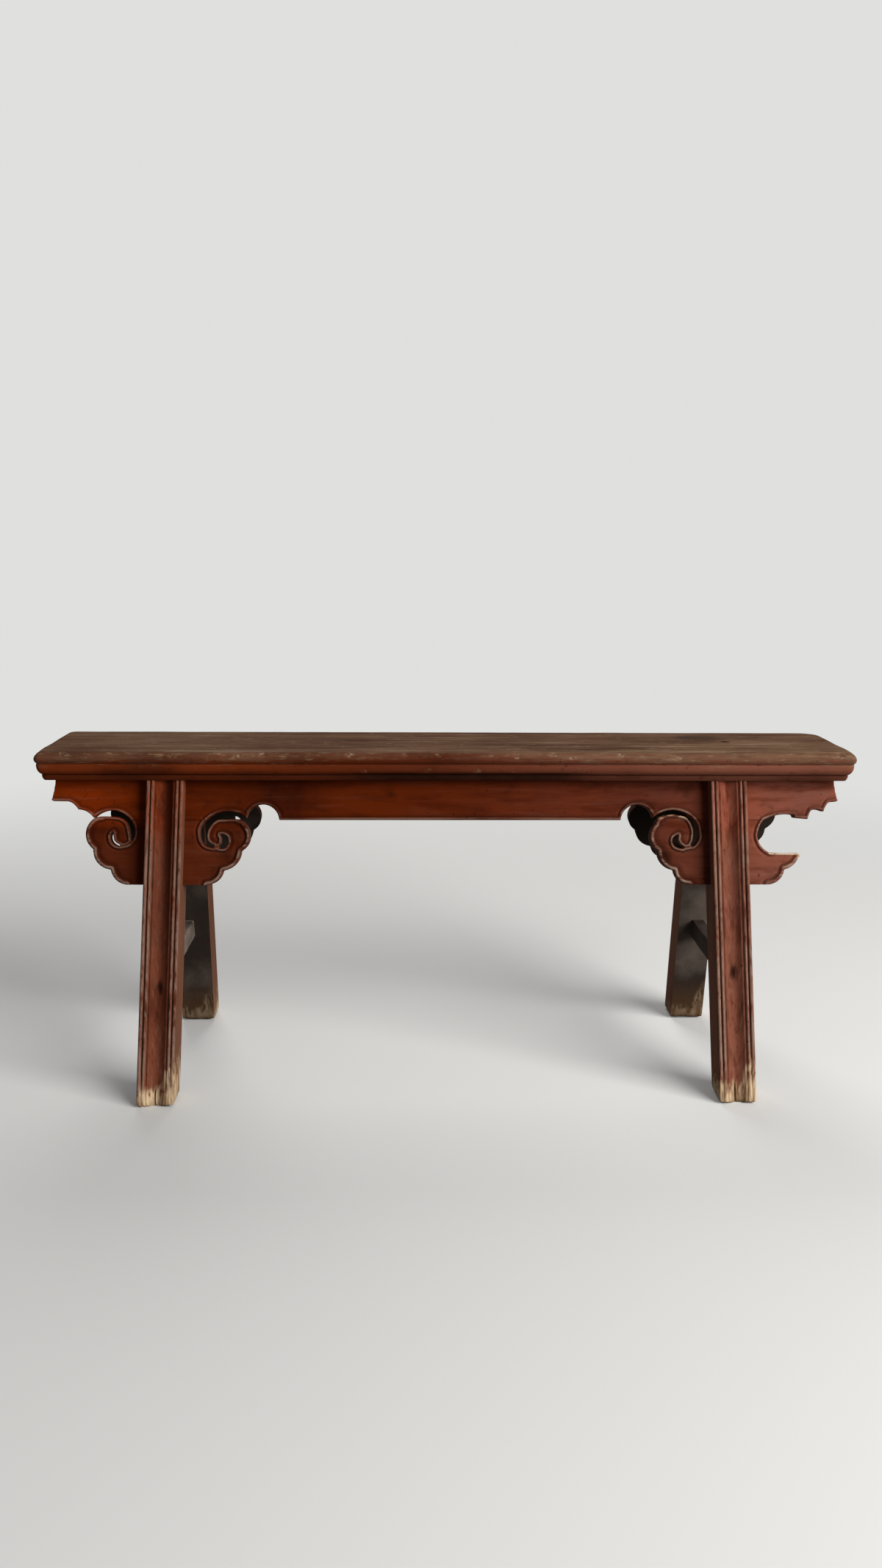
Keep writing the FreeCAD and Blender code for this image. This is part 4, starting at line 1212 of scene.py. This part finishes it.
# %% Camera
CAMERA_PLACE = (-0.0565, -1.6958, 0.7951)
CAMERA_TURN, CAMERA_TILT, CAMERA_ROLL = -1.6, 90 - 12.0, 0.4
FOCAL_LENGTH, PICTURE_HEIGHT, SENSOR = 1570.7, 2133, 36.0


def turned(degrees, axis):
    """A turn round one axis."""
    return Matrix.Rotation(math.radians(degrees), 4, axis)


clear_selection()
bpy.ops.object.camera_add()
camera = bpy.context.object
looking = turned(CAMERA_TURN, "Z") @ turned(CAMERA_TILT, "X") @ turned(CAMERA_ROLL, "Z")
camera.matrix_world = Matrix.Translation(CAMERA_PLACE) @ looking
camera.data.sensor_width = SENSOR
camera.data.lens = FOCAL_LENGTH / PICTURE_HEIGHT * SENSOR
bpy.context.scene.camera = camera
print("lens", round(camera.data.lens, 2), "mm")

# %% Floor
FLOOR_RADIUS, FLOOR_FADE, FLOOR_ROUGHNESS = 9, (0.9, 2.6), 0.85
FLOOR_COLOUR, FLOOR_BOUNCE, SKY_SEEN = tint(224, 223, 220), tint(100, 98, 94), tint(224, 224, 222)


def seen_directly(work):
    """1 for rays from the camera, or that a glossy or clear surface sends on, and 0 for soft light."""
    rays = work.put("LightPath", {}).outputs
    mirrored = work.sums("MAXIMUM", rays["Is Glossy Ray"], rays["Is Transmission Ray"])
    return work.sums("MAXIMUM", rays["Is Camera Ray"], mirrored)


clear_selection()
bpy.ops.mesh.primitive_circle_add(vertices=96, radius=FLOOR_RADIUS, fill_type="NGON")
floor = bpy.context.object
floor.name = "studio_floor"
work = Finish("studio_floor")
looked_at = seen_directly(work)
colour = work.lay(FLOOR_BOUNCE, FLOOR_COLOUR, looked_at)
floor.data.materials.append(work.close({"Base Color": colour, "Roughness": FLOOR_ROUGHNESS}))
far = work.put("VectorMath", {0: work.place}, operation="LENGTH").outputs["Value"]
fading = work.times(looked_at, work.mask(far, *FLOOR_FADE))
glow = work.put("Emission", {"Color": SKY_SEEN}).outputs[0]
faded = work.put("MixShader", {0: fading, 1: work.shader.outputs[0], 2: glow}).outputs[0]
work.wire(work.tree.nodes["Material Output"], "Surface", faded)
print("floor radius", FLOOR_RADIUS, "m")

# %% Lamps and surround
# Place, width and power of each lamp
LAMPS = {
    "key_lamp": ((2.6, -2.2, 1.95), 2.6, 200),
    "fill_lamp": ((-2.2, -2.8, 1.6), 2.4, 3),
    "back_lamp": ((-0.4, 2.6, 2.8), 2.2, 55),
}
AIM = Vector((0, 0, 0.3))
SKY_COLOUR, SKY_LIGHT = tint(236, 238, 242), 0.09

for name, (at, width, power) in LAMPS.items():
    bpy.ops.object.light_add(type="AREA", location=at)
    lamp = bpy.context.object
    lamp.name = name
    lamp.data.size, lamp.data.energy = width, power
    lamp.rotation_euler = (AIM - Vector(at)).to_track_quat("-Z", "Y").to_euler()

world = bpy.data.worlds.new("studio_world")
world.use_nodes = True
bpy.context.scene.world = world
work = Nodes(world.node_tree)
lit = work.tree.nodes["Background"]
work.wire(lit, "Color", SKY_COLOUR)
work.wire(lit, "Strength", SKY_LIGHT)
seen = work.put("Background", {"Color": SKY_SEEN, "Strength": 1.0}).outputs[0]
choice = work.put("MixShader", {0: seen_directly(work), 1: lit.outputs[0], 2: seen}).outputs[0]
work.wire(work.tree.nodes["World Output"], "Surface", choice)
bpy.context.scene.view_settings.view_transform = "Standard"
print("lamps:", list(LAMPS))

# %% [markdown]
